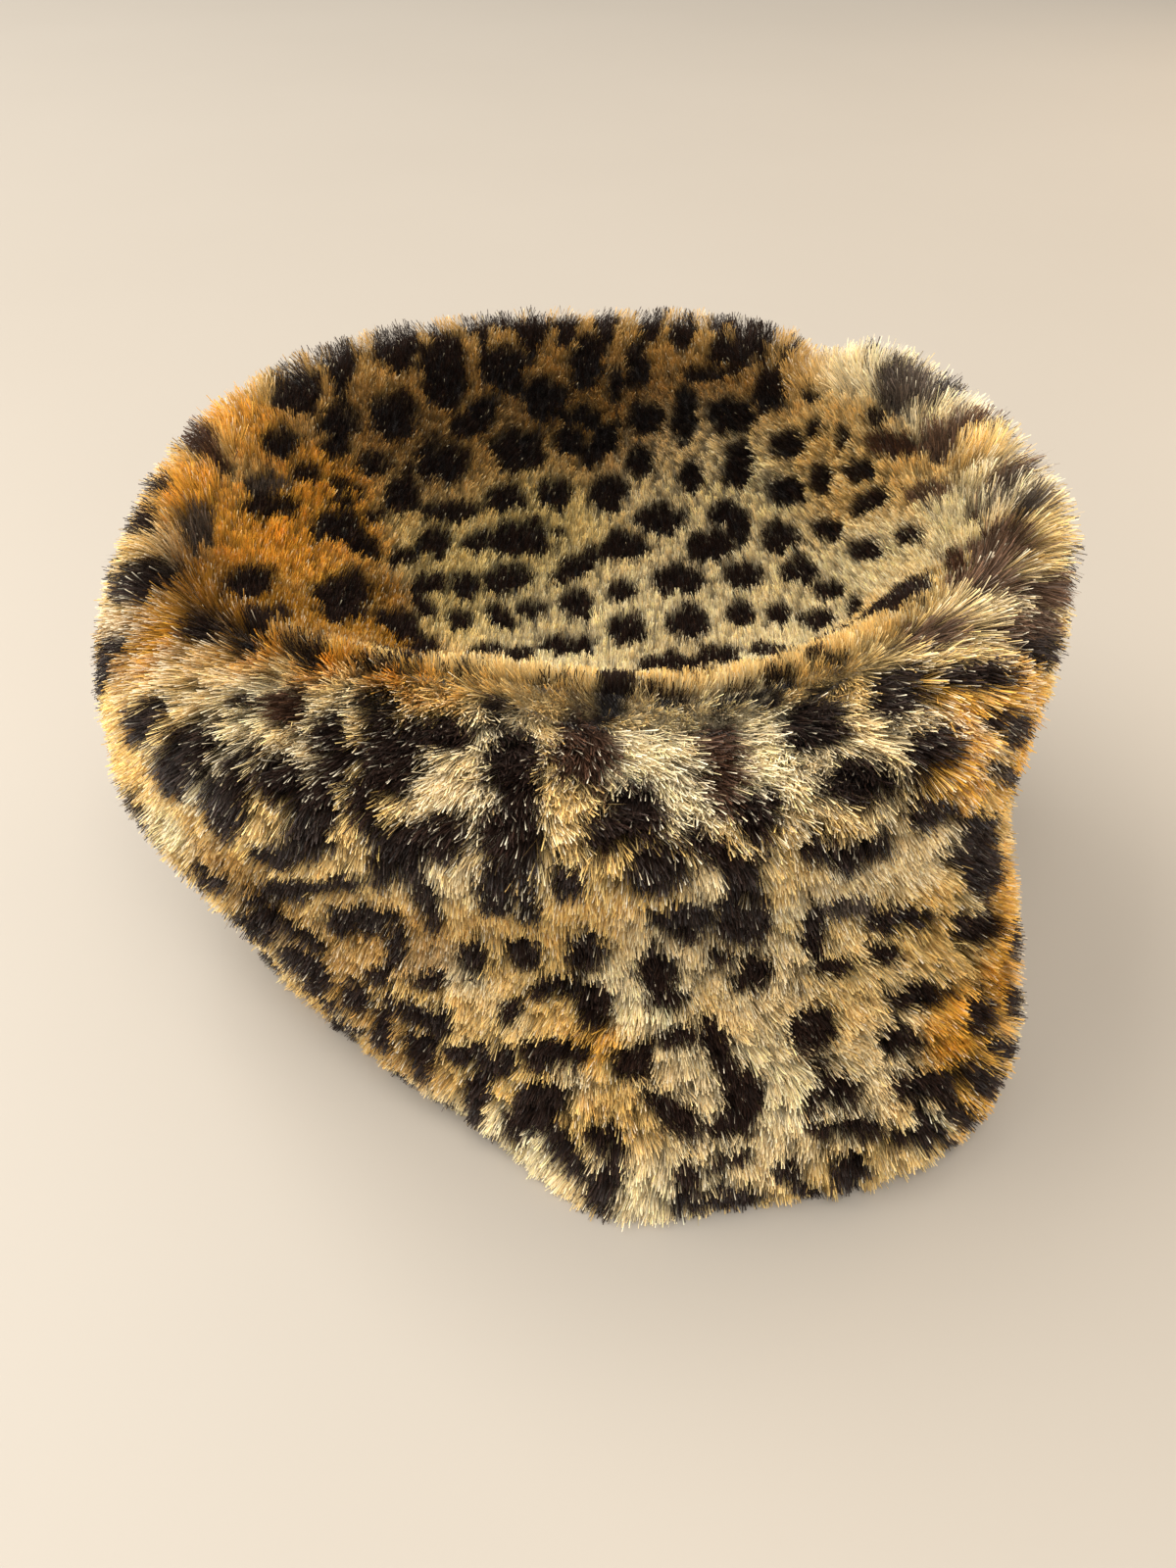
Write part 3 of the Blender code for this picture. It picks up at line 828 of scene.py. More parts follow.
class Effects:
    """The effects that the hat's finishes share, each a node group built once."""

    def __init__(self) -> None:
        """Builds the groups."""
        self.pile_tone = self.make_pile_tone()
        self.mottle = self.make_mottle()

    def make_pile_tone(self) -> bpy.types.NodeTree:
        """Makes the group that paints shade on a strand's root and pale tips, partly painted highlight, towards its
        end.

        Returns:
            The group.
        """
        group, bench, given, end = new_group(
            "pile_tone",
            {
                "Coat": ("NodeSocketColor", (0.5, 0.4, 0.2, 1)),
                "Along": ("NodeSocketFloat", 0.5),
                "Variation": ("NodeSocketFloat", 0.5),
                "Pale Tip And Highlight": ("NodeSocketFloat", 0.0),
                "Pale Tip And Highlight Colour": ("NodeSocketColor", (0.8, 0.75, 0.62, 1)),
                "Root Shade": ("NodeSocketFloat", 0.35),
            },
            {"Colour": "NodeSocketColor", "Roughness": "NodeSocketFloat"},
        )
        # Painted shade: the strand darkens towards its root, where the pile's depth lies in shade
        rise = bench.add(
            "ShaderNodeMapRange",
            {"Value": given["Along"], 1: 0.0, 2: SHADE_ENDS, 3: given["Root Shade"], 4: 1.0},
            interpolation_type="SMOOTHSTEP",
        )
        tone = bench.add(
            "ShaderNodeMapRange", {"Value": given["Variation"], 3: STRAND_TONES[0], 4: STRAND_TONES[1]}
        )
        level = bench.add(
            "ShaderNodeMath", {0: rise.outputs["Result"], 1: tone.outputs["Result"]}, operation="MULTIPLY"
        )
        shaded = bench.add(
            "ShaderNodeVectorMath", {0: given["Coat"], "Scale": level.outputs["Value"]}, operation="SCALE"
        )
        # Pale tips towards the strand's end, partly painted highlight
        tip = bench.add(
            "ShaderNodeMapRange",
            {"Value": given["Along"], 1: PALE_TIP_HIGHLIGHT_STARTS, 2: 1.0, 3: 0.0, 4: 1.0},
            interpolation_type="SMOOTHSTEP",
        )
        amount = bench.add(
            "ShaderNodeMath", {0: tip.outputs["Result"], 1: given["Pale Tip And Highlight"]}, operation="MULTIPLY", use_clamp=True
        )
        pale_tipped_and_highlighted = bench.add(
            "ShaderNodeMix",
            {0: amount.outputs["Value"], 6: shaded.outputs["Vector"], 7: given["Pale Tip And Highlight Colour"]},
            data_type="RGBA",
        )
        gloss = bench.add(
            "ShaderNodeMapRange", {"Value": given["Variation"], 3: STRAND_ROUGHNESS[0], 4: STRAND_ROUGHNESS[1]}
        )
        bench.link(pale_tipped_and_highlighted.outputs[2], end.inputs["Colour"])
        bench.link(gloss.outputs["Result"], end.inputs["Roughness"])
        return group

    def make_mottle(self) -> bpy.types.NodeTree:
        """Makes the group that gives a colour soft lighter and darker places.

        Returns:
            The group.
        """
        group, bench, given, end = new_group(
            "cloth_mottle",
            {
                "Colour": ("NodeSocketColor", (0.5, 0.5, 0.5, 1)),
                "Size": ("NodeSocketFloat", 60.0),
                "Strength": ("NodeSocketFloat", 0.2),
            },
            {"Colour": "NodeSocketColor", "Mask": "NodeSocketFloat"},
        )
        where = bench.add("ShaderNodeTexCoord")
        noise = bench.add(
            "ShaderNodeTexNoise",
            {"Vector": where.outputs["Object"], "Scale": given["Size"], "Detail": 5.0, "Roughness": 0.6},
        )
        low = bench.add("ShaderNodeMath", {0: 1.0, 1: given["Strength"]}, operation="SUBTRACT")
        high = bench.add("ShaderNodeMath", {0: 1.0, 1: given["Strength"]}, operation="ADD")
        level = bench.add(
            "ShaderNodeMapRange",
            {
                "Value": noise.outputs["Fac"],
                1: 0.3,
                2: 0.7,
                3: low.outputs["Value"],
                4: high.outputs["Value"],
            },
        )
        mixed = bench.add(
            "ShaderNodeVectorMath", {0: given["Colour"], "Scale": level.outputs["Result"]}, operation="SCALE"
        )
        bench.link(mixed.outputs["Vector"], end.inputs["Colour"])
        bench.link(noise.outputs["Fac"], end.inputs["Mask"])
        return group


@dataclass(frozen=True)
class PileFinish:
    """The finish of a pile's strands."""

    name: str
    # How dark the painted shade at a strand's root is
    root_shade: float
    mottle_size: float
    mottle_strength: float
    # Colour of the pale tips and their painted highlight
    pale_tip_and_highlight_colour: tuple[float, float, float]
    specular: float = 0.30
    sheen: float = 0.03
    sheen_roughness: float = 0.4

    def make(self, effects: Effects) -> bpy.types.Material:
        """Makes the material.

        Args:
            effects: The shared node groups.

        Returns:
            A material that reads the strands' own colour and place along them.
        """
        material = bpy.data.materials.new(self.name)
        material.use_nodes = True
        bench = NodeBench(material.node_tree)
        shader = material.node_tree.nodes["Principled BSDF"]
        coat = bench.add("ShaderNodeAttribute", attribute_name="coat")
        strand = bench.add("ShaderNodeAttribute", attribute_name="strand")
        parts = bench.add("ShaderNodeSeparateXYZ", {"Vector": strand.outputs["Vector"]})
        mottle = bench.add("ShaderNodeGroup", node_tree=effects.mottle)
        bench.link(coat.outputs["Color"], mottle.inputs["Colour"])
        mottle.inputs["Size"].default_value = self.mottle_size
        mottle.inputs["Strength"].default_value = self.mottle_strength
        tone = bench.add("ShaderNodeGroup", node_tree=effects.pile_tone)
        bench.link(mottle.outputs["Colour"], tone.inputs["Coat"])
        bench.link(parts.outputs["X"], tone.inputs["Along"])
        bench.link(parts.outputs["Y"], tone.inputs["Variation"])
        bench.link(parts.outputs["Z"], tone.inputs["Pale Tip And Highlight"])
        # Colour of the pale tips and their painted highlight
        tone.inputs["Pale Tip And Highlight Colour"].default_value = (*self.pale_tip_and_highlight_colour, 1)
        tone.inputs["Root Shade"].default_value = self.root_shade
        bench.link(tone.outputs["Colour"], shader.inputs["Base Color"])
        bench.link(tone.outputs["Roughness"], shader.inputs["Roughness"])
        shader.inputs["Specular IOR Level"].default_value = self.specular
        shader.inputs["Sheen Weight"].default_value = self.sheen
        shader.inputs["Sheen Roughness"].default_value = self.sheen_roughness
        return material


@dataclass(frozen=True)
class BackingFinish:
    """The finish of the knitted ground cloth that carries the pile and shows inside the hat."""

    name: str
    stitch: float
    row: float
    mottle_size: float = 90.0
    mottle_strength: float = 0.18
    relief_strength: float = 0.6
    relief_height: float = 0.6 * MM
    sheen: float = 0.25

    def make(self, effects: Effects) -> bpy.types.Material:
        """Makes the material.

        Args:
            effects: The shared node groups.

        Returns:
            A knitted material in the yarn's colour, darkened to the print outside, with painted shade in the knit's
            hollows.
        """
        material = bpy.data.materials.new(self.name)
        material.use_nodes = True
        bench = NodeBench(material.node_tree)
        shader = material.node_tree.nodes["Principled BSDF"]
        coat = bench.add("ShaderNodeAttribute", attribute_name="coat")
        where = bench.add("ShaderNodeUVMap", uv_map="Knit")
        apart = bench.add("ShaderNodeSeparateXYZ", {"Vector": where.outputs["UV"]})
        waves = []
        for axis, pitch in (("X", self.stitch), ("Y", self.row)):
            turns = bench.add(
                "ShaderNodeMath", {0: apart.outputs[axis], 1: 2 * math.pi / pitch}, operation="MULTIPLY"
            )
            waves.append(bench.add("ShaderNodeMath", {0: turns.outputs["Value"]}, operation="SINE"))
        knit = bench.add(
            "ShaderNodeMath", {0: waves[0].outputs["Value"], 1: waves[1].outputs["Value"]}, operation="MULTIPLY"
        )
        relief = bench.add("ShaderNodeMapRange", {"Value": knit.outputs["Value"], 1: -1.0, 2: 1.0})
        mottle = bench.add("ShaderNodeGroup", node_tree=effects.mottle)
        bench.link(coat.outputs["Color"], mottle.inputs["Colour"])
        mottle.inputs["Size"].default_value = self.mottle_size
        mottle.inputs["Strength"].default_value = self.mottle_strength
        # Painted shade: the knit darkens in the hollows of its relief
        level = bench.add(
            "ShaderNodeMapRange", {"Value": relief.outputs["Result"], 3: KNIT_HOLLOW_SHADE[0], 4: KNIT_HOLLOW_SHADE[1]}
        )
        colour = bench.add(
            "ShaderNodeVectorMath",
            {0: mottle.outputs["Colour"], "Scale": level.outputs["Result"]},
            operation="SCALE",
        )
        bump = bench.add(
            "ShaderNodeBump",
            {
                "Height": relief.outputs["Result"],
                "Strength": self.relief_strength,
                "Distance": self.relief_height,
            },
        )
        rough = bench.add(
            "ShaderNodeMapRange", {"Value": mottle.outputs["Mask"], 3: KNIT_ROUGHNESS[0], 4: KNIT_ROUGHNESS[1]}
        )
        bench.link(colour.outputs["Vector"], shader.inputs["Base Color"])
        bench.link(rough.outputs["Result"], shader.inputs["Roughness"])
        bench.link(bump.outputs["Normal"], shader.inputs["Normal"])
        shader.inputs["Sheen Weight"].default_value = self.sheen
        return material


# The pieces


def put_points(mesh: bpy.types.Mesh, name: str, kind: str, key: str, values: Array) -> None:
    """Stores a value on every vertex.

    Args:
        mesh: The mesh.
        name: The attribute's name.
        kind: Its data type.
        key: The field that holds it.
        values: One row for each vertex.
    """
    attribute = mesh.attributes.new(name, kind, "POINT")
    attribute.data.foreach_set(key, np.ascontiguousarray(values, dtype=np.float32).ravel())


@dataclass(frozen=True)
class PilePatch:
    """A place where the pile lies or is cut differently, in degrees and levels of the cloth."""

    name: str
    azimuth: float
    wide_azimuth: float
    level: float
    wide_level: float
    amount: float

    def at(self, azimuth: Array, level: Array) -> Array:
        """Works out how much the patch counts at each place.

        Args:
            azimuth: Azimuths in radians.
            level: Levels on the cloth.

        Returns:
            The patch's amount in its middle, fading to 0 around it.
        """
        cut = 180 if self.azimuth < 90 else 0
        turn = (np.degrees(azimuth) + cut) % 360 - cut
        x = (turn - self.azimuth) / self.wide_azimuth
        return self.amount * np.exp(-(x**2) - ((level - self.level) / self.wide_level) ** 2)


LAID_OVER = (
    PilePatch("right rim", 5, 40, 4.1, 0.7, 0.22),
    PilePatch("front rim", 278, 62, 3.6, 0.7, 0.28),
    PilePatch("back rim", 115, 65, 4.0, 0.8, 0.40),
)
BAND_LENGTHS = (
    PilePatch("front tufts", 295, 40, 3.5, 0.5, 0.22),
    PilePatch("right rim", 5, 40, 3.9, 0.8, 0.30),
    PilePatch("front corner", 276, 12, 0.0, 0.5, 0.35),
)
RIM_LENGTHS = (
    PilePatch("back left rim", 150, 40, 4.2, 1.0, 0.05),
    PilePatch("back rim", 100, 55, 4.0, 0.8, -0.25),
)


# Numbers that give every tuft a place of its own, far from its neighbours' pattern
CELL_KEYS = (73856093, 19349663, 83492791)
KEY_WAVES = (0.13, 0.37, 0.71)
KEY_SCALE = 43758.5453
# Baked, strands of about one shade lie together, spread a little and clear of the picture's edge
BAKE_PALEST = 0.95
BAKE_SPREAD = 0.1
BAKE_MARGIN = 0.02


@dataclass
class PileGrowth:
    """How a stretch of pile grows: count, size and lie of its strands."""

    strands: int
    length: float
    width: float
    stand: float
    lean_up: float
    droop: float
    tuft: float
    tuft_pull: float
    seed: int
    tuft_vary: float = 0.8
    # Distance from a tuft's middle to its edge, as a share of the tufts' spacing
    tuft_edge: float = 0.6
    grid: tuple[int, int] = (720, 120)
    edge_gap: float = 0.02
    sunk: float = 0.4 * MM
    floor_gap: float = 0.3 * MM
    roll: float = 0.6
    blunt_share: float = 0.42
    print_at: float = 0.72
    wander: float = 0.11
    # How far the lie turns on the cloth: strength in radians, size of a wave, and pattern
    swirls: tuple[tuple[float, float, int], ...] = ((0.50, 38 * MM, 21), (0.45, 12 * MM, 22))
    swirl_vary: float = 0.30
    # On the tip the lean falls to its least over so many levels from the seam
    lean_reach: float = 0.7
    least_lean: float = 0.35
    length_vary: float = 0.05
    length_wave: float = 9 * MM
    edge_shorter: float = 0.24
    # Painted shade between tufts: tone at a tuft's middle, and how much darker its edge is
    tuft_middle_painted_light: float = 1.14
    tuft_edge_painted_shade: float = 0.62
    hue_vary: float = 0.10
    # A strand's red and blue move apart by these shares of the hue's variation
    hue_way: tuple[float, float, float] = (0.6, 0.0, -1.0)
    # A dyed strand keeps at least so much of the dye's tone, and gains up to so much
    dye_least: float = 0.7
    dye_spread: float = 1.3
    most_laid_over: float = 0.45
    # Along the seams the pile is cut shorter, by a share and over a width in levels or degrees
    tip_seam_cut: float = 0.12
    tip_seam_wide: float = 0.10
    band_seam_cut: float = 0.08
    band_seam_wide: float = 1.6
    frost_everywhere: float = 0.14
    rim_pale_tip_and_highlight: float = 0.62
    pale_tip_and_highlight_lost_on_marks: float = 0.85
    palest: tuple[float, float] = (0.25, 1.0)
    # Stretches of the rim with pale tips and painted highlight: middle and spread in levels, and where they end in
    # metres
    front_rim_pale_tip_and_highlight: tuple[float, float, float] = (3.5, 0.7, 0.06)
    right_rim_pale_tip_and_highlight: tuple[float, float, float] = (4.2, 0.9, 0.07)
    pale_tip_and_highlight_wave: float = 24 * MM

    def scatter(self, form: ClothForm, azimuths: tuple[float, float], tip: bool) -> tuple[Array, Array]:
        """Spreads the strands' roots evenly over a stretch of cloth.

        Args:
            form: The cloth.
            azimuths: Where the stretch starts and ends, in degrees.
            tip: Whether it lies on the tip rather than the band.

        Returns:
            Azimuth in radians and level of each root.
        """
        draw = np.random.default_rng(self.seed)
        columns, rows = self.grid
        turn = np.radians(azimuths[0] + (azimuths[1] - azimuths[0]) * np.arange(columns + 1) / columns)
        seam = form.seam(turn)
        if tip:
            low, high = seam, np.full_like(seam, LAST_LEVEL - self.edge_gap)
        else:
            low, high = np.full_like(seam, self.edge_gap), seam
        share = np.arange(rows + 1) / rows
        level = low[:, None] + (high - low)[:, None] * share
        points = form.look_up(form.points, np.broadcast_to(turn[:, None], level.shape), level)
        side = points[1:, :-1] - points[:-1, :-1]
        rise = points[:-1, 1:] - points[:-1, :-1]
        area = np.linalg.norm(np.cross(side, rise), axis=-1).ravel()
        run = np.cumsum(area)
        picks = (np.arange(self.strands) + draw.random(self.strands)) / self.strands * run[-1]
        cell = np.minimum(np.searchsorted(run, picks), len(run) - 1)
        i, j = cell // rows, cell % rows
        s, t = draw.random(self.strands), draw.random(self.strands)
        azimuth = turn[i] * (1 - s) + turn[i + 1] * s
        base, top = np.interp(azimuth, turn, low), np.interp(azimuth, turn, high)
        return azimuth, base + (top - base) * (j + t) / rows

    def tuft_middles(self, points: Array) -> Array:
        """Finds the tuft that each root belongs to.

        Args:
            points: The roots.

        Returns:
            The tuft's middle for each root.
        """
        cell = np.floor(points / self.tuft).astype(np.int64)
        best = np.full(len(points), np.inf)
        middles = np.zeros_like(points)
        for dx in (-1, 0, 1):
            for dy in (-1, 0, 1):
                for dz in (-1, 0, 1):
                    there = cell + np.array([dx, dy, dz])
                    key = (there * np.array(CELL_KEYS)).sum(axis=1) + self.seed
                    waves = [np.abs(np.sin(key * f) * KEY_SCALE) for f in KEY_WAVES]
                    wander = np.stack([np.modf(wave)[0] for wave in waves], -1)
                    middle = (there + 0.5 + self.tuft_vary * (wander - 0.5)) * self.tuft
                    distance = ((middle - points) ** 2).sum(axis=1)
                    closer = distance < best
                    best[closer] = distance[closer]
                    middles[closer] = middle[closer]
        return middles

    def grow(
        self, name: str, form: ClothForm, print_: Print, azimuths: tuple[float, float], tip: bool
    ) -> bpy.types.Object:
        """Grows the strands as one mesh.

        Args:
            name: The piece's name.
            form: The cloth.
            print_: The printed pattern.
            azimuths: Where the stretch starts and ends, in degrees.
            tip: Whether it lies on the tip rather than the band.

        Returns:
            The piece.
        """
        draw = np.random.default_rng(self.seed + 100)
        azimuth, level = self.scatter(form, azimuths, tip)
        count = self.strands
        root, outward, upward = form.at(azimuth, level)
        beside = np.cross(upward, outward)
        swirl = sum(strength * ripple(root, size, pattern) for strength, size, pattern in self.swirls)
        swirl = swirl + draw.normal(0, self.swirl_vary, count)
        inner = np.exp(-np.abs(level - form.seam(azimuth)) / self.lean_reach) if tip else 1.0
        lean = (self.lean_up * (self.least_lean + (1 - self.least_lean) * inner) * np.ones(count))[:, None]
        lie = lean * (upward * np.cos(swirl)[:, None] + beside * np.sin(swirl)[:, None])
        stand = (self.stand - self.lay_over(azimuth, level))[:, None]
        stray = draw.normal(0, self.wander, (count, 3)) - np.array([0, 0, self.droop])
        lay = outward * stand + lie * np.sqrt(1 - stand**2)
        way = unit(lay + stray)
        wave = self.length_vary * ripple(root, self.length_wave, 23)
        length = self.length * (1 + wave + draw.normal(0, self.length_vary, count))
        length *= self.trim(form, azimuth, level, tip)
        pull = self.tuft_middles(root) - root
        pull -= (pull * outward).sum(axis=1, keepdims=True) * outward
        edge = np.clip(np.linalg.norm(pull, axis=1) / (self.tuft_edge * self.tuft), 0, 1) ** 2
        length *= 1 - self.edge_shorter * edge
        start = root - outward * self.sunk
        end = start + way * length[:, None] + pull * self.tuft_pull
        lowest = self.floor_gap * (1 + 2 * draw.random(count))
        start[:, 2] = np.maximum(start[:, 2], lowest)
        end[:, 2] = np.maximum(end[:, 2], lowest)
        roll = draw.normal(0, self.roll, count)
        wide = unit(np.cross(way, outward))
        half = (wide * np.cos(roll)[:, None] + np.cross(way, wide) * np.sin(roll)[:, None]) * self.width / 2
        blunt = draw.random(count) < self.blunt_share
        broad = np.where(blunt[:, None], end, start)
        point = np.where(blunt[:, None], start, end)
        side = np.where(blunt[:, None], -half, half)
        corners = np.stack([broad - side, broad + side, point], axis=1)
        mesh = bpy.data.meshes.new(name)
        mesh.vertices.add(count * 3)
        mesh.vertices.foreach_set("co", corners.astype(np.float32).ravel())
        mesh.loops.add(count * 3)
        mesh.loops.foreach_set("vertex_index", np.arange(count * 3, dtype=np.int32))
        mesh.polygons.add(count)
        mesh.polygons.foreach_set("loop_start", np.arange(count, dtype=np.int32) * 3)
        mesh.update(calc_edges=True)
        shown = root + lay * (length * self.print_at)[:, None]
        amount, dye = print_.dye_amounts(shown)
        hue = draw.normal(0, self.hue_vary, (count, 1)) * np.array(self.hue_way)
        dye = dye * (self.dye_least + self.dye_spread * draw.random((count, 1)) ** 2)
        colour = print_.ground(shown) * (1 + hue) * (1 - amount[:, None]) + dye * amount[:, None]
        # Painted shade between the tufts: strands darken towards a tuft's edge
        tone = self.tuft_middle_painted_light - self.tuft_edge_painted_shade * edge
        colour = np.clip(np.repeat(colour * tone[:, None], 3, axis=0), 0, 1)
        put_points(mesh, "coat", "FLOAT_COLOR", "color", np.concatenate([colour, np.ones((count * 3, 1))], axis=1))
        along = np.where(np.repeat(blunt, 3), np.tile([1.0, 1.0, 0.0], count), np.tile([0.0, 0.0, 1.0], count))
        variation = np.repeat(draw.random(count), 3)
        # Pale tips with painted highlight, strongest on the rim
        pale_tip_and_highlight = np.repeat(self.pale_tip_and_highlight(root, level, amount, draw), 3)
        put_points(mesh, "strand", "FLOAT_VECTOR", "vector", np.stack([along, variation, pale_tip_and_highlight], axis=1))
        bake = mesh.uv_layers.new(name="OFBake")
        shade = np.clip(colour[:, 0] / BAKE_PALEST, 0, 1) * (1 - BAKE_SPREAD) + BAKE_SPREAD * variation
        uv = BAKE_MARGIN + (1 - 2 * BAKE_MARGIN) * np.stack([shade, along], axis=1)
        bake.uv.foreach_set("vector", uv.astype(np.float32).ravel())
        piece = bpy.data.objects.new(name, mesh)
        bpy.context.scene.collection.objects.link(piece)
        return piece

    def lay_over(self, azimuth: Array, level: Array) -> Array:
        """Says how much less the strands stand where they lie over the rim."""
        return np.minimum(sum(patch.at(azimuth, level) for patch in LAID_OVER), self.most_laid_over)

    def trim(self, form: ClothForm, azimuth: Array, level: Array, tip: bool) -> Array:
        """Gives how much of its length each strand keeps.

        Args:
            form: The cloth.
            azimuth: Azimuth of each root.
            level: Level of each root.
            tip: Whether the strands stand on the tip.

        Returns:
            Shares, lowest along the seams.
        """
        gap = np.abs(level - form.seam(azimuth))
        share = 1 - self.tip_seam_cut * np.exp(-((gap / self.tip_seam_wide) ** 2))
        if not tip:
            turn = np.interp(level, [p[1] for p in BAND_SEAM], [p[0] for p in BAND_SEAM])
            off = np.degrees(azimuth) % 360 - turn
            share *= 1 - self.band_seam_cut * np.exp(-((off / self.band_seam_wide) ** 2))
            share *= 1 + sum(patch.at(azimuth, level) for patch in BAND_LENGTHS)
        return share * (1 + sum(patch.at(azimuth, level) for patch in RIM_LENGTHS))

    def pale_tip_and_highlight(self, root: Array, level: Array, amount: Array, draw: np.random.Generator) -> Array:
        """Gives how pale each strand's tip is: pale tipping everywhere, with painted highlight added on the front and
        right rim.

        Args:
            root: The strands' roots.
            level: Their levels.
            amount: How dark they are dyed.
            draw: Source of variation.

        Returns:
            Values from 0 to 1.
        """
        middle, spread, end = self.front_rim_pale_tip_and_highlight
        rim = np.exp(-(((level - middle) / spread) ** 2)) * (root[:, 1] < end)
        middle, spread, end = self.right_rim_pale_tip_and_highlight
        right = np.exp(-(((level - middle) / spread) ** 2)) * (root[:, 0] > end)
        patch = np.clip(0.5 + ripple(root, self.pale_tip_and_highlight_wave, 31), 0, 1)
        # Painted highlight on the front and right rim, on top of pale tips everywhere
        chance = self.frost_everywhere + self.rim_pale_tip_and_highlight * np.maximum(rim, right) * patch
        chance *= 1 - self.pale_tip_and_highlight_lost_on_marks * amount
        return np.where(draw.random(len(root)) < chance, draw.uniform(*self.palest, len(root)), 0.0)


@dataclass
class SewnCloth:
    """One sewn piece of ground cloth: an outer and an inner face, closed along its edges."""

    name: str
    tip: bool
    thickness: float = 2.5 * MM
    columns: int = 160
    rows: int = 40
    gap_share: float = 0.006
    shown_at: float = 5 * MM
    # Share of the print's tone kept on the cloth's face; the rest is painted shade under the pile
    under_pile_shade: float = 0.5
    last_row: float = 0.05

    def build(self, form: ClothForm, print_: Print) -> bpy.types.Object:
        """Builds the piece as one closed mesh.

        Args:
            form: The cloth's form.
            print_: The printed pattern.

        Returns:
            The piece.
        """
        turn = np.arange(self.columns) * 2 * np.pi / self.columns
        seam = form.seam(turn)
        if self.tip:
            low, high = seam + self.gap_share, np.full_like(seam, LAST_LEVEL - self.last_row)
        else:
            low, high = np.zeros_like(seam), seam - self.gap_share
        level = low[:, None] + (high - low)[:, None] * np.arange(self.rows + 1) / self.rows
        point, outward, _ = form.at(np.broadcast_to(turn[:, None], level.shape), level)
        inner = point - outward * self.thickness
        if not self.tip:
            inner[:, 0, 2] = point[:, 0, 2] = HEM_GAP
        rows = self.rows + 1
        vertices = np.concatenate([point.reshape(-1, 3), inner.reshape(-1, 3)])
        shift = self.columns * rows
        faces = []
        for i in range(self.columns):
            j = (i + 1) % self.columns
            for k in range(self.rows):
                outer = (i * rows + k, j * rows + k, j * rows + k + 1, i * rows + k + 1)
                faces.append(outer)
                faces.append(tuple(shift + v for v in reversed(outer)))
            first, second = i * rows, j * rows
            faces.append((second, first, first + shift, second + shift))
            if not self.tip:
                first, second = i * rows + self.rows, j * rows + self.rows
                faces.append((first, second, second + shift, first + shift))
        if self.tip:
            top = [i * rows + self.rows for i in range(self.columns)]
            faces.append(tuple(top))
            faces.append(tuple(shift + v for v in reversed(top)))
        mesh = bpy.data.meshes.new(self.name)
        mesh.from_pydata(vertices.tolist(), [], faces, shade_flat=False)
        mesh.update()
        shown = (point + outward * self.shown_at).reshape(-1, 3)
        amount, dye = print_.dye_amounts(shown)
        # Painted shade under the pile: the cloth's face keeps the print at a share of its tone
        face = (print_.ground(shown) * (1 - amount[:, None]) + dye * amount[:, None]) * self.under_pile_shade
        backing = np.tile(np.array(dyed(BACKING_YARN)), (len(face), 1))
        colour = np.concatenate([np.concatenate([face, backing]), np.ones((2 * len(face), 1))], axis=1)
        put_points(mesh, "coat", "FLOAT_COLOR", "color", colour)
        steps = np.linalg.norm(np.diff(point, axis=1), axis=-1)
        rise = np.concatenate([np.zeros((self.columns, 1)), np.cumsum(steps, axis=1)], axis=1)
        around = np.broadcast_to((turn * form.half_width)[:, None], rise.shape)
        flat = np.stack([around, rise], axis=-1).reshape(-1, 2)
        flat = np.concatenate([flat, flat])
        knit = mesh.uv_layers.new(name="Knit")
        index = np.empty(len(mesh.loops), dtype=np.int32)
        mesh.loops.foreach_get("vertex_index", index)
        knit.uv.foreach_set("vector", flat[index].astype(np.float32).ravel())
        piece = bpy.data.objects.new(self.name, mesh)
        bpy.context.scene.collection.objects.link(piece)
        return piece


@dataclass
class FurPiece:
    """What both sewn pieces share: a ground cloth and the pile on it, stretch by stretch."""

    cloth: str
    tip: bool
    # Name, start and stop in degrees, and number of strands of each stretch
    sectors: tuple[tuple[str, float, float, int], ...]
    length: float
    width: float
    stand: float
    lean_up: float
    droop: float
    tuft: float
    tuft_pull: float
    seed: int

    def build(self, form: ClothForm, print_: Print) -> list[bpy.types.Object]:
        """Builds the cloth and the pile.

        Args:
            form: The cloth's form.
            print_: The printed pattern.

        Returns:
            The pieces, the cloth first.
        """
        pieces = [SewnCloth(self.cloth, self.tip).build(form, print_)]
        for number, (name, start, stop, strands) in enumerate(self.sectors):
            growth = PileGrowth(
                strands, self.length, self.width, self.stand, self.lean_up, self.droop,
                self.tuft, self.tuft_pull, self.seed + number,
            )
            pieces.append(growth.grow(name, form, print_, (start, stop), self.tip))
        return pieces


@dataclass
class SideBand(FurPiece):
    """The strip round the head: its cloth and the long pile on it."""

    cloth: str = "side_band_cloth"
    tip: bool = False
    sectors: tuple[tuple[str, float, float, int], ...] = (
        ("band_pile_front", 228, 312, 190000),
        ("band_pile_right", -48, 48, 170000),
        ("band_pile_back", 48, 132, 130000),
        ("band_pile_left", 132, 228, 150000),
    )
    length: float = 9.2 * MM
    width: float = 0.22 * MM
    stand: float = 0.92
    lean_up: float = -1.0
    droop: float = 0.06
    tuft: float = 4 * MM
    tuft_pull: float = 0.55
    seed: int = 7

    def dress(self, pieces: list[bpy.types.Object], backing: bpy.types.Material, pile: bpy.types.Material) -> None:
        """Gives the pieces their materials and ties them to the frame.

        Args:
            pieces: What build gave.
            backing: The ground cloth's material.
            pile: The strands' material.
        """
        for number, piece in enumerate(pieces):
            piece.data.materials.append(pile if number else backing)
            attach(piece, "root")
        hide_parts("side_band")


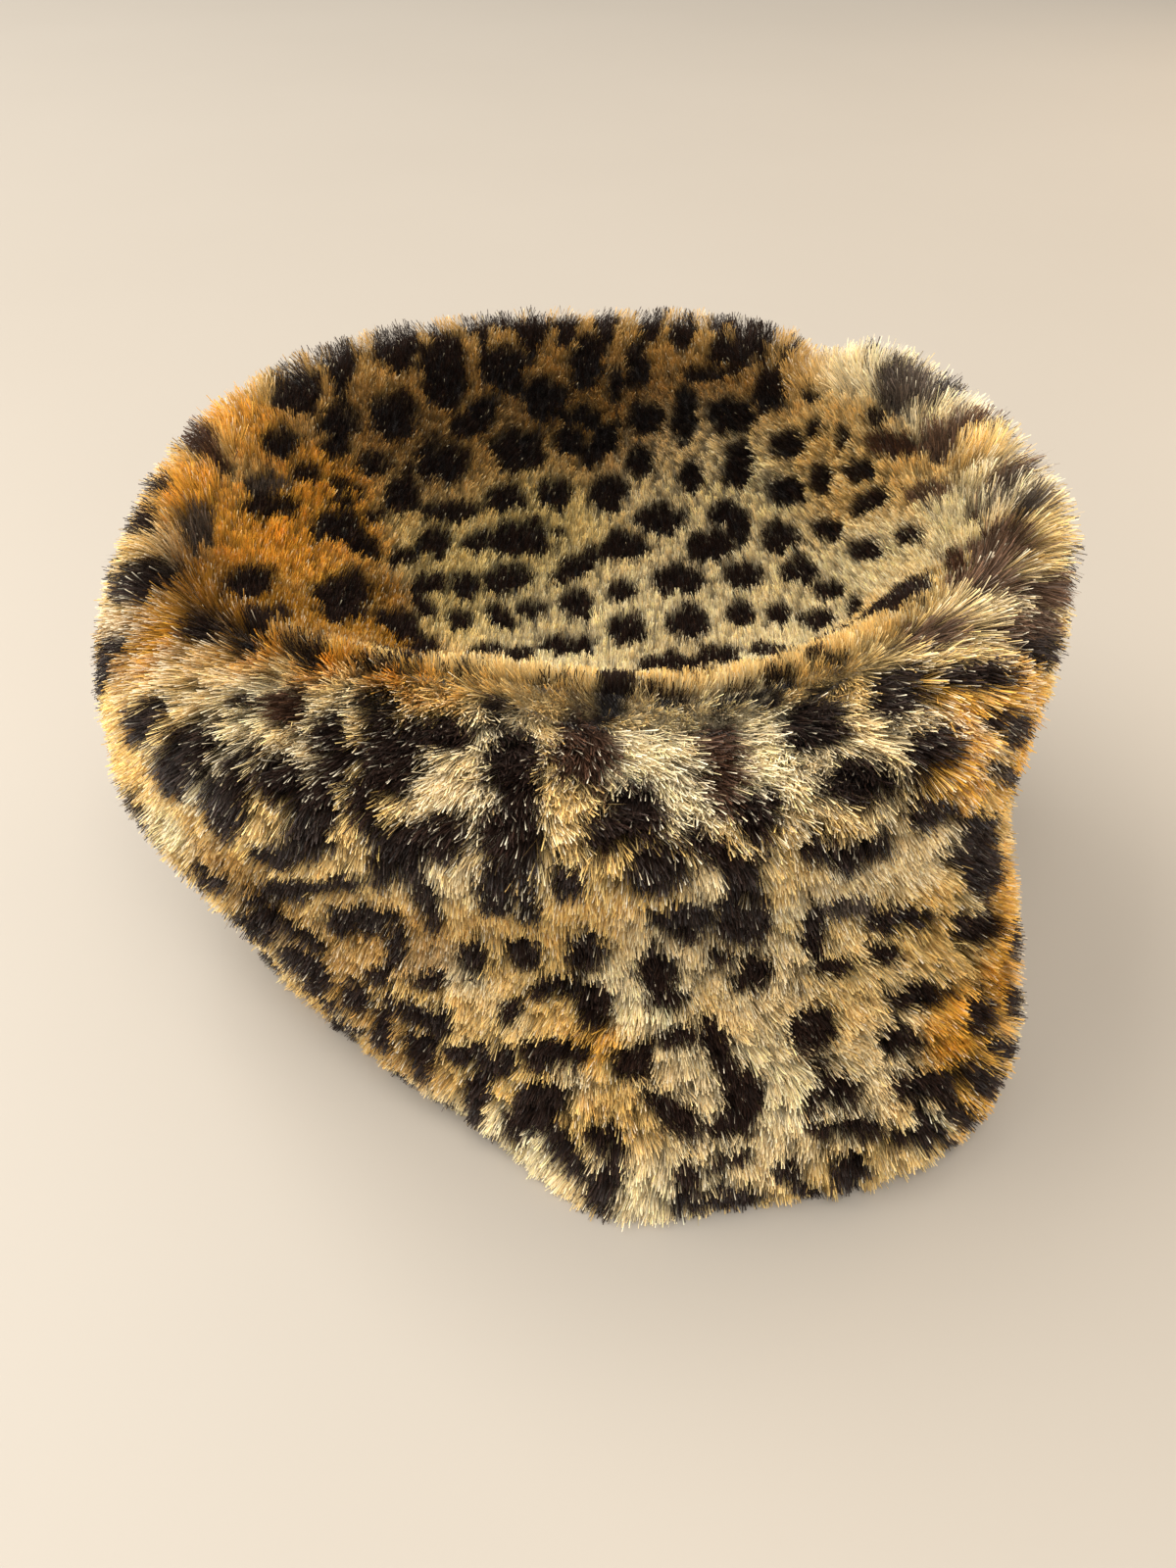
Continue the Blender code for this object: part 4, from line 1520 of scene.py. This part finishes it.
@dataclass
class CrownTip(FurPiece):
    """The oval piece on top, sunk to a dish: its cloth and the shorter pile on it."""

    cloth: str = "crown_tip_cloth"
    tip: bool = True
    sectors: tuple[tuple[str, float, float, int], ...] = (
        ("tip_pile_left", 90, 270, 150000),
        ("tip_pile_right", -90, 90, 150000),
    )
    length: float = 6.0 * MM
    width: float = 0.20 * MM
    stand: float = 0.93
    lean_up: float = -0.8
    droop: float = 0.03
    tuft: float = 3 * MM
    tuft_pull: float = 0.45
    seed: int = 29

    def dress(self, pieces: list[bpy.types.Object], backing: bpy.types.Material, pile: bpy.types.Material) -> None:
        """Gives the pieces their materials and ties them to the frame.

        Args:
            pieces: What build gave.
            backing: The ground cloth's material.
            pile: The strands' material.
        """
        for number, piece in enumerate(pieces):
            piece.data.materials.append(pile if number else backing)
            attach(piece, "root")
        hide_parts("crown_tip")


# The studio


@dataclass(frozen=True)
class Lamp:
    """A soft square light."""

    name: str
    place: tuple[float, float, float]
    size: float
    power: float
    colour: tuple[float, float, float]
    aim: tuple[float, float, float] = (0, 0, 0.05)

    def make(self) -> None:
        """Makes the light, turned to the hat."""
        data = bpy.data.lights.new(self.name, "AREA")
        data.size = self.size
        data.energy = self.power
        data.color = self.colour
        lamp = bpy.data.objects.new(self.name, data)
        lamp.location = self.place
        way = Vector(self.aim) - Vector(self.place)
        lamp.rotation_euler = way.to_track_quat("-Z", "Y").to_euler()
        bpy.context.scene.collection.objects.link(lamp)


@dataclass
class Studio:
    """A plain pale floor and soft light."""

    half_floor: float = 6.0
    floor_tones: tuple[tuple[float, ...], ...] = ((0.39, 0.357, 0.312, 1), (0.42, 0.387, 0.342, 1))
    floor_roughness: float = 0.5
    cloud_scale: float = 3.0
    cloud_detail: float = 4.0
    sky: tuple[float, ...] = (0.98, 0.93, 0.85, 1)
    sky_strength: float = 0.50
    lamps: tuple[Lamp, ...] = (
        Lamp("window", (-1.8, 0.75, 2.1), 2.5, 112.0, (1.0, 0.95, 0.88)),
        Lamp("room", (0.1, -0.8, 2.0), 1.4, 34.0, (1.0, 0.95, 0.89)),
        Lamp("left_glow", (-1.3, -0.3, 0.5), 0.8, 3.5, (1.0, 0.78, 0.50)),
        Lamp("right_glow", (1.2, 0.8, 0.5), 0.8, 8.0, (1.0, 0.74, 0.48)),
    )

    def build(self) -> None:
        """Builds the floor, the lights and the pale surroundings."""
        half = self.half_floor
        mesh = bpy.data.meshes.new("floor")
        mesh.from_pydata([(-half, -half, 0), (half, -half, 0), (half, half, 0), (-half, half, 0)], [], [(0, 1, 2, 3)])
        floor = bpy.data.objects.new("floor", mesh)
        bpy.context.scene.collection.objects.link(floor)
        material = bpy.data.materials.new("pale_floor")
        material.use_nodes = True
        bench = NodeBench(material.node_tree)
        shader = material.node_tree.nodes["Principled BSDF"]
        where = bench.add("ShaderNodeTexCoord")
        noise = bench.add(
            "ShaderNodeTexNoise",
            {"Vector": where.outputs["Object"], "Scale": self.cloud_scale, "Detail": self.cloud_detail},
        )
        tone = bench.add(
            "ShaderNodeMix",
            {0: noise.outputs["Fac"], 6: self.floor_tones[0], 7: self.floor_tones[1]},
            data_type="RGBA",
        )
        bench.link(tone.outputs[2], shader.inputs["Base Color"])
        shader.inputs["Roughness"].default_value = self.floor_roughness
        mesh.materials.append(material)
        for lamp in self.lamps:
            lamp.make()
        world = bpy.data.worlds.new("surroundings")
        world.use_nodes = True
        sky = world.node_tree.nodes["Background"]
        sky.inputs["Color"].default_value = self.sky
        sky.inputs["Strength"].default_value = self.sky_strength
        bpy.context.scene.world = world
        bpy.context.scene.view_settings.view_transform = "Standard"


def main() -> None:
    """Builds the hat piece by piece, then the studio and the camera."""
    logging.basicConfig(level=logging.INFO, format="%(name)s: %(message)s")
    view = View()
    form = ClothForm()
    pattern = Print(form, view)
    LOG.info("print: %d marks", len(pattern.centres))
    effects = Effects()
    backing = BackingFinish("knitted_backing", stitch=1.1 * MM, row=1.4 * MM).make(effects)
    long_pile = PileFinish(
        "long_pile", root_shade=0.24, mottle_size=140.0, mottle_strength=0.24, pale_tip_and_highlight_colour=dyed("FFF4D8")
    ).make(effects)
    short_pile = PileFinish(
        "short_pile", root_shade=0.30, mottle_size=170.0, mottle_strength=0.20, pale_tip_and_highlight_colour=dyed("F0E6C4")
    ).make(effects)
    for part, pile in ((SideBand(), long_pile), (CrownTip(), short_pile)):
        pieces = part.build(form, pattern)
        part.dress(pieces, backing, pile)
        for piece in pieces:
            LOG.info("%s: %d faces", piece.name, len(piece.data.polygons))
    Studio().build()
    view.make()


if __name__ == "__main__":
    main()
